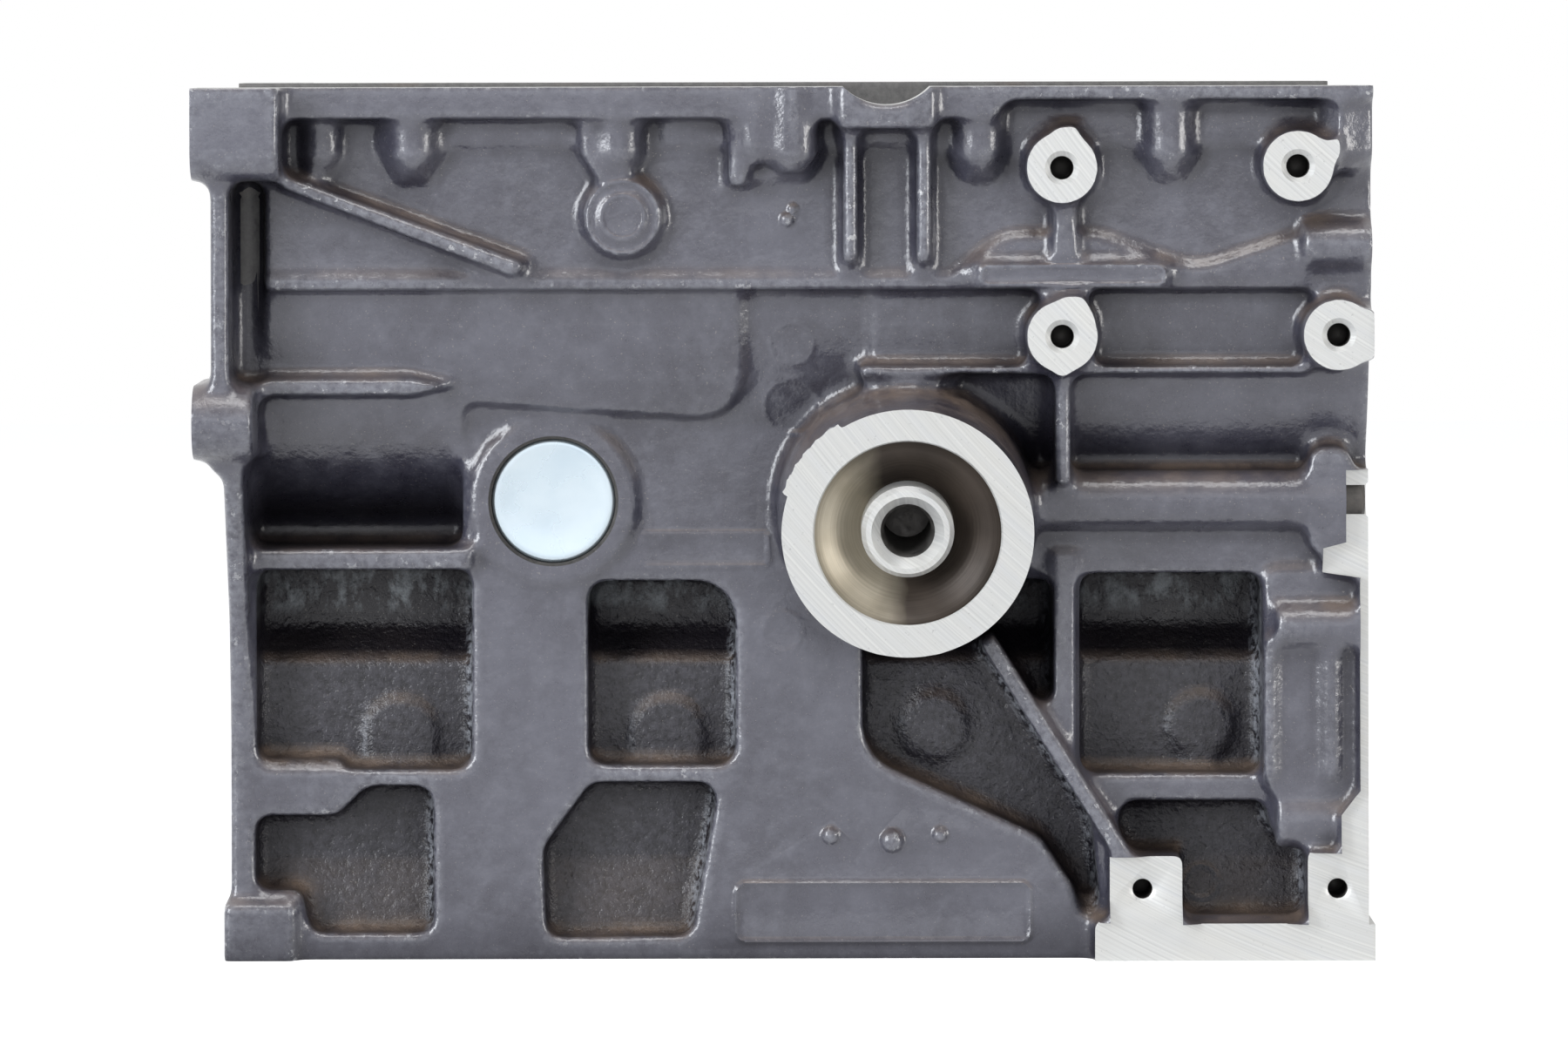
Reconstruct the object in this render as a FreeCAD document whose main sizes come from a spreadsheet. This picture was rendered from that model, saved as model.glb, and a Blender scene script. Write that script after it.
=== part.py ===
import FreeCAD, Part
import math
import os
import Sketcher

# Inline-four cylinder block in grey iron, standing on its deck (head face) with the crankcase on top.
# Frame: origin on the deck, on the crank and cylinder plane, midway between cylinders 2 and 3.
# +X runs to the timing end, -Y to the oil filter side, +Z from the deck to the pan rail. Millimetres.

doc = FreeCAD.newDocument("engine_block")
sheet = doc.addObject("Spreadsheet::Sheet", "Sizes")

SIZES = {
    # the four numbers that name the engine
    "bore": 76.5,
    "pitch": 82,
    "crank_height": 208,
    "main_bore": 59,
    # overall
    "skirt": 59,
    "end_wall": 9,
    "flange_reach": 19,
    "rail_thick": 9.5,
    # crankcase
    "case_radius": 88,
    "case_wall": 8,
    "web": 5,
    "saddle": 22,
    "bay_depth": 72,
    # how far the faces of the upper half stand out, each from the face before it
    "skirt_out": 4,
    "rail_out": 12,
    "boss_out": 1,
    "lug_out": 13,
    # water jacket and the walls outside it
    "barrel_wall": 5.5,
    "jacket_gap": 7.5,
    "jacket_low": 11,
    "jacket_high": 86,
    "jacket_wall": 6.75,
    "waist_wall": 8.75,
    "band_out": 14,
    "pad_out": 8,
    # main caps and their bolts
    "cap_crown": 16.5,
    "cap_seat": 34,
    "cap_bolt": 10,
    "cap_bolt_wall": 5.5,
    "cap_edge_wall": 7,
    "cap_bolt_depth": 30,
    # fasteners and plugs
    "head_bolt_in": 11,
    "head_hole": 9,
    "accessory_hole": 8.5,
    "pan_hole": 5.2,
    "cover_hole": 5.2,
    "bell_hole": 10.8,
    "core_plug": 38,
    "gallery": 12,
    "fit_gap": 0.04,
    # oil filter flange
    "filter_flange": 76,
    "filter_recess": 56,
    "filter_boss": 28,
    "filter_thread": 14.4,
    "filter_depth": 14,
    "filter_reach": 112,
    "filter_drop": 75.4,
    "filter_tilt": -8,
}


class Size:
    """A length with the spreadsheet formula that gives it: one name serves the code and the expressions."""

    def __init__(self, value, text):
        self.value = value
        self.text = text

    def __add__(self, other):
        return Size(self.value + value(other), f"({self.text} + {text(other)})")

    def __sub__(self, other):
        return Size(self.value - value(other), f"({self.text} - {text(other)})")

    def __mul__(self, factor):
        return Size(self.value * factor, f"{self.text} * {factor}")

    def __truediv__(self, factor):
        return Size(self.value / factor, f"{self.text} / {factor}")

    def __neg__(self):
        return Size(-self.value, f"(0 - {self.text})")

    def __radd__(self, other):
        return self + other

    def __rsub__(self, other):
        return -self + other


def value(size):
    """The number of a Size, or a plain number as it is."""
    return size.value if isinstance(size, Size) else float(size)


def text(size):
    """The formula of a Size, or a plain number in digits."""
    return size.text if isinstance(size, Size) else repr(float(size))


def fill_sheet():
    """Writes each driving dimension to the sheet under its own alias."""
    for row, (alias, number) in enumerate(SIZES.items(), start=1):
        sheet.set(f"A{row}", alias)
        sheet.set(f"B{row}", str(number))
        sheet.setAlias(f"B{row}", alias)
    doc.recompute()


fill_sheet()
S = {alias: Size(float(number), f"Sizes.{alias}") for alias, number in SIZES.items()}

bore, pitch, crank, main_bore = S["bore"], S["pitch"], S["crank_height"], S["main_bore"]
pan = crank + S["skirt"]
rear_wall = -(pitch * 2 + 10.5)
rear_face = -(pitch * 2 + S["flange_reach"])
flange_face = rear_face + 5.4
timing_face = pitch * 2 + S["end_wall"]
jacket_radius = bore / 2 + S["barrel_wall"] + S["jacket_gap"]
waist = bore / 2 + S["waist_wall"]
jacket = jacket_radius + S["jacket_wall"]
band = jacket + S["band_out"]
pad = band + S["pad_out"]
case_radius = S["case_radius"]
inner_radius = case_radius - S["case_wall"]
skirt = case_radius + S["skirt_out"]
rail = skirt + S["rail_out"]
boss_face = rail + S["boss_out"]
lug_face = boss_face + S["lug_out"]
rail_low = pan - S["rail_thick"]
bore_length = crank - S["bay_depth"]
cap_bolt_y = main_bore / 2 + S["cap_bolt_wall"] + S["cap_bolt"] / 2
cap_half = cap_bolt_y + S["cap_bolt"] / 2 + S["cap_edge_wall"]
filter_x = 32.2
front_plug_x, front_plug_z = -75.5, crank - 67.7
jacket_plug = S["core_plug"] - 2
jacket_plug_z = 56
gallery_y, gallery_z = -(band + 4), 140.6
deep = 40.0          # where plates on the walls start, well inside the iron
CYLINDERS = (-1.5, -0.5, 0.5, 1.5)
BULKHEADS = (-2, -1, 0, 1, 2)


# ---- construction helpers ------------------------------------------------------------------------

FRONT = FreeCAD.Rotation(FreeCAD.Vector(1, 0, 0), 90)       # sketch (u, v) is (x, z), its normal -Y
END = FreeCAD.Rotation(FreeCAD.Vector(1, 1, 1), 120)        # sketch (u, v) is (y, z), its normal +X
PLAN = FreeCAD.Rotation()                                   # sketch (u, v) is (x, y), its normal +Z
ALONG = {
    "x": FreeCAD.Rotation(FreeCAD.Vector(0, 1, 0), 90),
    "y": FreeCAD.Rotation(FreeCAD.Vector(1, 0, 0), -90),
    "z": FreeCAD.Rotation(),
}


def bind(thing, **sizes):
    """Sets each property, and binds it to the sheet where its size comes from there."""
    for name, size in sizes.items():
        setattr(thing, name, value(size))
        if isinstance(size, Size):
            thing.setExpression(name, size.text)


def place(thing, base, turn):
    """Puts the object at base with the given turn, each coordinate bound to the sheet."""
    thing.Placement = FreeCAD.Placement(FreeCAD.Vector(*[value(c) for c in base]), turn)
    for axis, size in zip("xyz", base):
        if isinstance(size, Size):
            thing.setExpression(f"Placement.Base.{axis}", size.text)


def rounded(points, radii):
    """For each corner of a polygon, where its rounding starts and ends and where its arc is centred."""
    found = []
    for i, corner in enumerate(points):
        if radii[i] == 0:
            found.append((corner, corner, None))
            continue
        back = (points[i - 1] - corner).normalize()
        ahead = (points[(i + 1) % len(points)] - corner).normalize()
        half = back.getAngle(ahead) / 2
        reach = radii[i] / math.tan(half)
        centre = corner + (back + ahead).normalize() * (radii[i] / math.sin(half))
        found.append((corner + back * reach, corner + ahead * reach, centre))
    return found


def outline(sketch, corners):
    """Draws a closed outline of (u, v) or (u, v, radius) corners, each corner bound to the sheet."""
    points = [FreeCAD.Vector(value(c[0]), value(c[1]), 0) for c in corners]
    radii = [value(c[2]) if len(c) > 2 else 0 for c in corners]
    turns = rounded(points, radii)
    count = len(corners)
    lines = [Part.LineSegment(turns[i][1], turns[(i + 1) % count][0]) for i in range(count)]
    sketch.addGeometry(lines, False)
    rules, formulas = [], []

    def pin(geometry, point, corner, position):
        places = (("DistanceX", corner[0], position.x), ("DistanceY", corner[1], position.y))
        for kind, size, number in places:
            rules.append(Sketcher.Constraint(kind, -1, 1, geometry, point, number))
            if isinstance(size, Size):
                formulas.append((len(rules) - 1, size.text))

    for i, corner in enumerate(corners):
        before, after = (i - 1) % count, i
        start, end, centre = turns[i]
        if centre is None:
            rules.append(Sketcher.Constraint("Coincident", before, 2, after, 1))
            pin(after, 1, corner, points[i])
            continue
        first, last = (p - centre for p in (start, end))
        left = first.cross(last).z > 0
        angles = [math.atan2(v.y, v.x) for v in ((first, last) if left else (last, first))]
        circle = Part.Circle(centre, FreeCAD.Vector(0, 0, 1), radii[i])
        arc = sketch.addGeometry(Part.ArcOfCircle(circle, angles[0], angles[1]), False)
        ends = (1, 2) if left else (2, 1)
        mark = sketch.addGeometry(Part.Point(points[i]), True)
        rules.append(Sketcher.Constraint("Tangent", before, 2, arc, ends[0]))
        rules.append(Sketcher.Constraint("Tangent", arc, ends[1], after, 1))
        rules.append(Sketcher.Constraint("PointOnObject", mark, 1, before))
        rules.append(Sketcher.Constraint("PointOnObject", mark, 1, after))
        rules.append(Sketcher.Constraint("Radius", arc, radii[i]))
        pin(mark, 1, corner, points[i])
    sketch.addConstraint(rules)
    for index, formula in formulas:
        sketch.setExpression(f"Constraints[{index}]", formula)


def extrude(name, corners, turn, base, length):
    """A prism on an outline."""
    sketch = doc.addObject("Sketcher::SketchObject", name + "_outline")
    place(sketch, base, turn)
    outline(sketch, corners)
    prism = doc.addObject("Part::Extrusion", name)
    prism.Base = sketch
    prism.DirMode = "Normal"
    prism.Solid = True
    bind(prism, LengthFwd=length)
    return prism


def plate(name, corners, back, front):
    """A prism on an (x, z) outline, from half-width back out to half-width front on the filter side."""
    return extrude(name, corners, FRONT, (0, -back, 0), front - back)


def far_plate(name, corners, back, front):
    """A prism on an (x, z) outline on the far side."""
    return extrude(name, corners, FRONT, (0, front, 0), front - back)


def section(name, corners, left, right):
    """A prism on a (y, z) outline, from x = left to x = right."""
    return extrude(name, corners, END, (left, 0, 0), right - left)


def box(name, x, y, z):
    """A box between three (low, high) pairs."""
    made = doc.addObject("Part::Box", name)
    bind(made, Length=x[1] - x[0], Width=y[1] - y[0], Height=z[1] - z[0])
    place(made, (x[0], y[0], z[0]), PLAN)
    return made


def rod(name, diameter, base, axis, length):
    """A round bar or drill from base along +x, +y or +z."""
    made = doc.addObject("Part::Cylinder", name)
    bind(made, Radius=diameter / 2, Height=length)
    place(made, base, ALONG[axis])
    return made


def fuse(name, shapes):
    made = doc.addObject("Part::MultiFuse", name)
    made.Shapes = shapes
    return made


def common(name, shapes):
    made = doc.addObject("Part::MultiCommon", name)
    made.Shapes = shapes
    return made


def cut(name, base, tools):
    made = doc.addObject("Part::Cut", name)
    made.Base = base
    made.Tool = tools[0] if len(tools) == 1 else fuse(name + "_tools", tools)
    return made


def rectangle(u, v, radius=0):
    """The corners of a rectangle between two (low, high) pairs."""
    return [(u[0], v[0], radius), (u[1], v[0], radius), (u[1], v[1], radius), (u[0], v[1], radius)]


# ---- cylinder block: body ------------------------------------------------------------------------

def core():
    """The walls over the whole length: deck flange, water jacket, waist and crankcase."""
    half = [(jacket + 5, 0), (jacket + 5, 7), (jacket, 31), (jacket, 90), (waist, 100), (waist, crank - 58)]
    corners = [(-u, v) for u, v in half] + half[::-1]
    walls = section("barrel_walls", corners, rear_wall, timing_face)
    half_case = [
        rod("case_barrel", (case_radius - 3) * 2, (rear_wall, 0, crank), "x", timing_face - rear_wall),
        box("case_lower_half", (rear_wall, timing_face), (-case_radius, case_radius), (crank - 90, crank)),
    ]
    upper = section(
        "skirt_walls",
        rectangle((-skirt, skirt), (crank, pan - 2)),
        rear_wall,
        timing_face,
    )
    return [walls, common("case_lower", half_case), upper]


def case_skins():
    """The thicker crankcase skin, which stops at a step above the plug and beside the middle band."""
    left = [
        (rear_wall, 120),
        (pitch * -1 - 21.4, 120),
        (pitch * -1 - 21.4, crank - 37, 4),
        (-18, crank - 43, 13),
        (-18, crank),
        (rear_wall, crank),
    ]
    right = rectangle((22, timing_face), (130, crank))
    made = []
    length = timing_face - rear_wall
    for side, corners in (("left", left), ("right", right)):
        made.append(common(f"case_skin_{side}", [
            plate(f"case_skin_{side}_reach", corners, deep - 20, case_radius),
            rod(f"case_skin_{side}_barrel", case_radius * 2, (rear_wall, 0, crank), "x", length),
        ]))
    return made


def pan_rail():
    """The flange round the crankcase mouth; its lip is thinner towards the timing end."""
    step = 63
    front = [
        (rear_wall, rail_low),
        (step - 4, rail_low),
        (step, pan - 4),
        (timing_face, pan - 4),
        (timing_face, pan),
        (rear_wall, pan),
    ]
    return [
        plate("pan_rail_front", front, skirt - 8, rail),
        far_plate("pan_rail_far", rectangle((rear_wall, timing_face), (rail_low, pan)), skirt - 8, rail - 4),
    ]


def rail_step():
    """The low step of the wall under the pan rail, which dips round the foot of each column."""
    step, low = skirt + 3, pan - 17.2
    made = [
        plate("rail_step_left", rectangle((-104, -66), (low, rail_low)), deep + 30, step),
        plate("rail_step_right", rectangle((-41, timing_face), (low, rail_low)), deep + 30, step),
    ]
    for i, (x, half) in enumerate(((-117.2, 9.5), (-7, 14), (54.5, 9.5), (111.7, 9.5)), start=1):
        dip = [(half, rail_low), (half, low - 2), (half - 5.5, low - 11)]
        corners = [(x - u, v) for u, v in dip] + [(x + u, v) for u, v in dip[::-1]]
        made.append(plate(f"rail_step_dip_{i}", corners, deep + 30, step))
    return made


def band_slab():
    """The flat bands of the filter side, with the pockets between them open down to the jacket wall."""
    slab = plate(
        "band_slab",
        [(rear_wall, 0), (timing_face, 0), (timing_face, 123), (14.4, 123), (14.4, crank - 2),
         (-18, crank - 2), (-18, crank - 43, 13), (pitch * -1 - 21.4, crank - 37), (pitch * -1 - 21.4, 126),
         (rear_wall, 126)],
        deep, band,
    )
    pocket = {
        "upper_first": [(pitch * -2 - 2.5, 58, 4), (pitch * -1 - 18.7, 58, 5), (pitch * -1 - 18.7, 120, 3),
                        (pitch * -2 - 2.5, 120, 3)],
        "upper_second": [(pitch * -0.5 - 24, 59.2, 5), (pitch * -0.5 + 21, 59.2, 5),
                         (pitch * -0.5 + 21, 115.6, 12), (pitch * -0.5 - 24, 115.6, 5)],
        "lower_first": [(-112.5, 8, 4), (-112.5, 53, 5), (-133, 53, 6), (-142, 44, 7), (-167, 44, 4),
                        (-167, 21.3, 3), (-153, 21, 3), (-150, 8, 4)],
        "lower_second": [(-33.6, 6.9, 4), (-25, 54, 5), (-64.4, 54, 5), (-79, 34, 6), (-78, 6.5, 4)],
        "under_filter": [(18.9, 116), (18.9, 62, 15), (73, 37.5, 8), (83.5, 22, 5), (86, 12, 3), (92, 12, 3),
                         (88, 50, 4), (77.1, 62, 4), (77.1, 116)],
        "upper_last": [(85.3, 56.5, 4), (141.3, 56.5, 4), (141.3, 118.6, 5), (85.3, 118.6, 5)],
        "lower_last": [(97, 13, 5), (154, 13, 5), (156, 35, 4), (143, 39, 5), (143, 48, 4), (97, 48, 5)],
    }
    holes = [plate(f"pocket_{name}", corners, deep - 5, band + 5) for name, corners in pocket.items()]
    return [cut("bands", slab, holes)]


def jacket_buttons():
    """Raised core-print buttons on the jacket wall, one to a cylinder."""
    made = [
        plate(f"button_{i}", rectangle((pitch * k - 10, pitch * k + 10), (55, 78), 9.5), deep, jacket + 2)
        for i, k in enumerate(CYLINDERS[:2], start=1)
    ]
    for i, k in enumerate(CYLINDERS[2:], start=3):
        made.append(rod(f"button_{i}", 18.4, (pitch * k, -(jacket + 2), 70), "y", jacket + 2 - deep))
    return made


def wall_ribs():
    """Straight ribs and ledges of the filter side, as (x, z) outlines with the half-width each reaches."""
    top = crank
    ribs = {
        "ledge_low_left": (rectangle((rear_wall, pitch * -1 - 18.7), (119.5, 126)), 77),
        "ledge_deck_left": (rectangle((rear_wall, -141), (50, 61)), 69),
        "rib_mid_left": ([(rear_wall, top - 34.5), (-118, top - 34.5), (-106, top - 32), (-118, top - 29.4),
                          (rear_wall, top - 29.4)], 90),
        "ledge_crank_line": (rectangle((rear_wall, timing_face), (top - 2.5, top + 1)), 94),
        "rib_diagonal_top": ([(-158, top + 33.5), (-156, top + 28.5), (-86, top + 1.5), (-83, top + 6)], 101),
        "rib_saddle_left": (rectangle((13, 17.4), (top + 5.6, pan - 8)), 101),
        "rib_saddle_right": (rectangle((35.2, 39.6), (top + 5.6, pan - 8)), 101),
        "rib_short": (rectangle((-21.6, -16), (top + 29, pan - 8)), 100),
        "stem_disc": (rectangle((-57.5, -51.7), (top + 26, pan - 8)), 98),
        "stem_disc_side": ([(-66, pan - 8), (-66, top + 38), (-61, top + 31), (-59, top + 31),
                            (-59, pan - 8)], 99),
        "bar_raised": (rectangle((53.5, 111.2), (top - 2.2, top + 5.4)), 98),
        "hump_raised": ([(46, top + 1), (61, top + 13.4, 20), (91, top + 13.4, 24), (120, top + 3, 20),
                         (153, top + 14), (153, top + 1)], 95),
        "rib_boss_upper": (rectangle((76.8, 83.6), (top + 8, top + 28)), 99),
        "ledge_accessory": (rectangle((17.7, 153.6), (top - 28.4, top - 25.8)), 93),
        "rib_boss_lower": (rectangle((77.2, 81.9), (146, top - 20)), 93),
        "band_under_gallery": (rectangle((73, timing_face), (118, 131)), 76),
        "gallery_collar": (rectangle((154.7, 168), (124, 157), 5), 84),
        "hood_filter": ([(16, top - 39), (19, top - 34), (50.7, top - 36), (56, top - 43)], 90),
        "rib_vertical": (rectangle((77.1, 84), (60, 124)), 78),
        "rib_diagonal_low": ([(54.5, 97), (97, 29.5), (101.3, 32.2), (58.5, 100)], 84),
        "pad_right": (rectangle((141, 171.2), (50.5, 119), 5), 78),
        "ridge_right_inner": (rectangle((141, 144), (56, 98)), 81),
        "ridge_right_outer": (rectangle((160, 163.4), (56, 98)), 81),
    }
    return [plate(name, corners, deep, reach) for name, (corners, reach) in ribs.items()]


def half_rounds():
    """Half-round swellings that stand out of the filter side wall."""
    return [
        rod("gallery_tube", S["gallery"] + 6, (72, gallery_y, gallery_z), "x", timing_face - 72),
        rod("swell_right_upper", 14, (145, -77, 102), "x", 24),
        rod("swell_right_lower", 18, (145, -71, 42.5), "x", 20.3),
        rod("swell_skirt_end", 15, (152.7, -skirt, crank + 10.8), "x", timing_face - 152.7),
    ]


# ---- cylinder block: bosses and flanges on the filter side ---------------------------------------

# accessory bracket bosses: x and height above the crank axis
ACCESSORY_BOSSES = {
    "boss_upper_left": (79, 34.4),
    "boss_upper_right": (150.2, 34.8),
    "boss_lower_left": (79, -16.5),
    "boss_lower_right": (162.4, -16.2),
}
# the lips that two of them are cast with, as (across, up) corners from the screw hole
BOSS_LIPS = {
    "boss_upper_left": [(-4.5, 7), (-1.7, 12.3), (4.4, 13), (6.5, 7)],
    "boss_lower_left": [(-9.4, -5.5), (0, -13), (9.4, -5.5), (10, 6), (6.5, 12.3), (0.7, 12.5), (-9.4, 4.6)],
}
LOW_BOSSES = {"boss_deck_left": (104, 22), "boss_deck_right": (163.5, 22)}
PAN_BOLTS_FRONT = (-117.2, -55, -2.4, 54.5, 111.7, 165)
PAN_BOLTS_FAR = (-165, -111.7, -54.5, 2.4, 55, 117.2, 165)
PROUD_BOLT = -2.4
pan_bolt_front, pan_bolt_far = -(skirt + 2), skirt + 1


def accessory_bosses():
    """Four bosses machined to one plane for the accessory bracket, two of them with a lip."""
    made = []
    for name, (x, rise) in ACCESSORY_BOSSES.items():
        made.append(rod(name, 22, (x, -boss_face, crank + rise), "y", boss_face - deep))
    for name, corners in BOSS_LIPS.items():
        x, rise = ACCESSORY_BOSSES[name]
        lip = [(x + across, crank + rise + up) for across, up in corners]
        made.append(plate(f"{name}_lip", lip, deep, boss_face))
    return made


def bracket_pad():
    """The machined L at the foot of the timing end, notched between its two screw bosses."""
    corners = [
        (89.5, 0), (timing_face + 2, 0), (timing_face + 2, 8), (timing_face, 11), (timing_face, 149),
        (167, 149), (166.5, 127), (159.5, 125), (159.5, 119), (170.8, 117), (170.8, 52),
        (165, 44), (165, 33), (154.4, 33, 9), (154.4, 11.4, 4), (116.1, 11.4, 4), (116.1, 32, 10),
        (94, 32, 9), (94, 12), (89.5, 12),
    ]
    return [plate("bracket_pad", corners, deep, pad)]


def pan_bosses():
    """Round columns under the pan rail, drawn in at the foot; two stand out in front of the rail."""
    made = []
    low = crank + 38
    for i, x in enumerate(PAN_BOLTS_FRONT, start=1):
        if x == PROUD_BOLT:
            made += column("pan_boss_proud", 15, (x, -(rail - 5.5), low), pan - low)
            made += column("pan_boss_pair", 12, (x - 10.8, -(rail - 5.5), low + 3), pan - low - 3)
        else:
            made += column(f"pan_boss_front_{i}", 15, (x, pan_bolt_front, low), rail_low - low + 1)
            made.append(rod(f"pan_boss_core_{i}", 11, (x, pan_bolt_front, low), "z", pan - low))
    made += column("rail_column_left", 12, (-145, -skirt, low), rail_low - low + 1)
    for i, x in enumerate(PAN_BOLTS_FAR, start=1):
        made.append(rod(f"pan_boss_far_{i}", 15, (x, pan_bolt_far, low), "z", rail_low - low + 1))
    return made


def column(name, diameter, base, length):
    """An upright round column that draws in to a blunt foot."""
    foot = doc.addObject("Part::Cone", f"{name}_foot")
    bind(foot, Radius1=diameter / 4, Radius2=diameter / 2, Height=5)
    place(foot, (base[0], base[1], base[2] - 5), PLAN)
    return [rod(name, diameter, base, "z", length), foot]


def pipe_saddle():
    """The thickened stretch of the pan rail that carries a half bore."""
    corners = rectangle((11.9, 40.5), (pan - 12.6, pan - 0.3))
    return [plate("pipe_saddle", corners, skirt - 4, 108)]


def disc_boss():
    """A blind round boss, left as cast, with a ring on its face."""
    x, z = -53.6, crank + 19.6
    return [
        rod("disc_boss", 24, (x, -(skirt + 5), z), "y", skirt + 5 - deep),
        rod("disc_boss_centre", 15, (x, -(skirt + 6.2), z), "y", skirt + 6.2 - deep),
    ]


def plug_boss():
    """The round boss of the crankcase core plug."""
    face = band + 3
    return [rod("plug_boss", S["core_plug"] + 12, (front_plug_x, -face, front_plug_z), "y", face - deep)]


def lugs():
    """Lugs whose ends meet the gearbox: square ones at the pan rail, round ones below the crank line."""
    made = [plate("lug_deck", rectangle((rear_wall - 2, -155), (0, 17)), deep, band + 4)]
    top = [(-lug_face, crank + 31, 10), (8 - skirt, crank + 31), (8 - skirt, pan - 1), (-lug_face, pan - 1)]
    far_top = [(-u, v, *corner) for u, v, *corner in top[::-1]]
    made.append(section("lug_top", top, rear_face, -156.5))
    made.append(section("lug_far_top", far_top, rear_face, -160))
    radius = 11.4
    for (y, z), name in zip(BELL_BOLTS[2:], ("lug_middle", "lug_far_middle")):
        side = (y, y * 0.6) if value(y) < 0 else (y * 0.6, y)
        made.append(rod(name, radius * 2, (rear_face, y, z), "x", -164.8 - rear_face))
        made.append(box(f"{name}_root", (rear_face, -164.8), side, (z - radius, z + radius)))
    return made


def gearbox_flange():
    """The bell housing flange: a rim whose edge draws in from the crank line towards the deck."""
    upper = [(103, 151), (110, 178), (110, pan - 1)]
    lower = [(70, 58), (78, 104), (103, 152)]
    made = []
    for name, half, left, right in (("upper", upper, flange_face, flange_face + 5.6),
                                    ("lower", lower, rear_wall, rear_wall + 6)):
        corners = [(-u, v) for u, v in half] + half[::-1]
        made.append(section(f"gearbox_flange_{name}", corners, left, right))
    return made


def flange_groove():
    """The groove between the flange's edge and the crankcase wall."""
    return [plate("flange_groove", rectangle((flange_face + 5.6, -162.5), (crank - 56, crank + 31)), 84, 125)]


def filter_flange():
    """The oil filter seat: a round flange tilted a little towards the deck, on a root that widens."""
    neck = doc.addObject("Part::Cylinder", "filter_neck")
    bind(neck, Radius=S["filter_flange"] / 2, Height=16)
    face_centre(neck, 0)
    root = doc.addObject("Part::Cone", "filter_root")
    bind(root, Radius1=S["filter_flange"] / 2, Radius2=S["filter_flange"] / 2 + 3, Height=48)
    face_centre(root, 10)
    return [neck, root]


def face_centre(thing, depth):
    """Puts a round solid's base on the filter axis, depth millimetres below the flange face."""
    angle = math.radians(SIZES["filter_tilt"])
    turn = FreeCAD.Rotation(FreeCAD.Vector(1, 0, 0), -90 - SIZES["filter_tilt"])
    y = -S["filter_reach"] + depth * math.cos(angle)
    z = crank - S["filter_drop"] - depth * math.sin(angle)
    place(thing, (filter_x, y, z), turn)


def filter_cuts():
    """The dished ring round the filter's threaded boss, and the boss's own bore."""
    recess = doc.addObject("Part::Cone", "filter_recess")
    bind(recess, Radius1=S["filter_recess"] / 2, Radius2=S["filter_boss"] / 2 + 5, Height=S["filter_depth"])
    face_centre(recess, 0)
    island = doc.addObject("Part::Cylinder", "filter_island")
    bind(island, Radius=S["filter_boss"] / 2, Height=S["filter_depth"] + 2)
    face_centre(island, 1.5)
    ring = cut("filter_ring_recess", recess, [island])
    bore_ = doc.addObject("Part::Cylinder", "filter_bore")
    bind(bore_, Radius=S["filter_thread"] / 2, Height=40)
    face_centre(bore_, -1)
    mouth = doc.addObject("Part::Cone", "filter_bore_chamfer")
    bind(mouth, Radius1=S["filter_thread"] / 2 + 2.5, Radius2=S["filter_thread"] / 2 - 1, Height=3.5)
    face_centre(mouth, 0.5)
    return [ring, bore_, mouth]


# ---- cylinder block: far side --------------------------------------------------------------------

def far_side():
    """The far wall: a band slab with one pocket to a cylinder, bulkhead ribs and four mount bosses."""
    slab = far_plate("far_slab", rectangle((rear_wall, timing_face), (0, 124)), deep, jacket + 10)
    holes = []
    for i, k in enumerate(CYLINDERS, start=1):
        pocket = rectangle((pitch * k - 31, pitch * k + 31), (12, 116), 7)
        holes.append(far_plate(f"far_pocket_{i}", pocket, deep - 5, band))
    made = [cut("far_bands", slab, holes)]
    for i, k in enumerate(BULKHEADS[1:4], start=1):
        corners = rectangle((pitch * k - 3, pitch * k + 3), (120, crank + 30))
        made.append(far_plate(f"far_rib_{i}", corners, deep, skirt + 3))
    ledge = rectangle((rear_wall, timing_face), (crank - 3, crank + 2))
    made.append(far_plate("far_ledge", ledge, deep, skirt + 2))
    for i, (x, z) in enumerate(FAR_BOSSES, start=1):
        made.append(rod(f"far_boss_{i}", 22, (x, deep, z), "y", far_boss_face - deep))
    for i, k in enumerate(CYLINDERS[1:], start=1):
        made.append(rod(f"far_plug_boss_{i}", jacket_plug + 10, (pitch * k, deep, jacket_plug_z), "y",
                        jacket + 3 - deep))
    return made


FAR_BOSSES = ((-140, crank - 44.5), (-98.5, crank - 44.5), (62, crank - 44.5), (118, crank - 44.5))
far_boss_face = skirt + 4


# ---- cylinder block: cavities and machining ------------------------------------------------------

def crankcase_cavities():
    """Four bays between the bulkheads, and the open mouth above the crank axis."""
    top = [(-inner_radius, crank), (inner_radius, crank), (84, pan + 1), (-84, pan + 1)]
    made = [section("case_mouth", top, rear_face - 5, timing_face + 5)]
    for i, k in enumerate(CYLINDERS, start=1):
        low, high = pitch * k - pitch / 2 + S["web"] / 2, pitch * k + pitch / 2 - S["web"] / 2
        made.append(common(f"bay_{i}", [
            rod(f"bay_{i}_barrel", inner_radius * 2, (low, 0, crank), "x", high - low),
            box(f"bay_{i}_floor", (low, high), (-inner_radius, inner_radius), (bore_length, crank + 1)),
        ]))
    return made


def saddles():
    """Thick bearing saddles in the bulkheads, wide at the cap face and narrow at the barrels."""
    half = [(28, bore_length + 10), (cap_half, crank - 28), (cap_half, crank)]
    corners = [(-u, v) for u, v in half] + half[::-1]
    made = []
    for i, k in enumerate(BULKHEADS, start=1):
        left = rear_wall if k == -2 else pitch * k - S["saddle"] / 2
        right = timing_face if k == 2 else pitch * k + S["saddle"] / 2
        made.append(section(f"saddle_{i}", corners, left, right))
    return made


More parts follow.
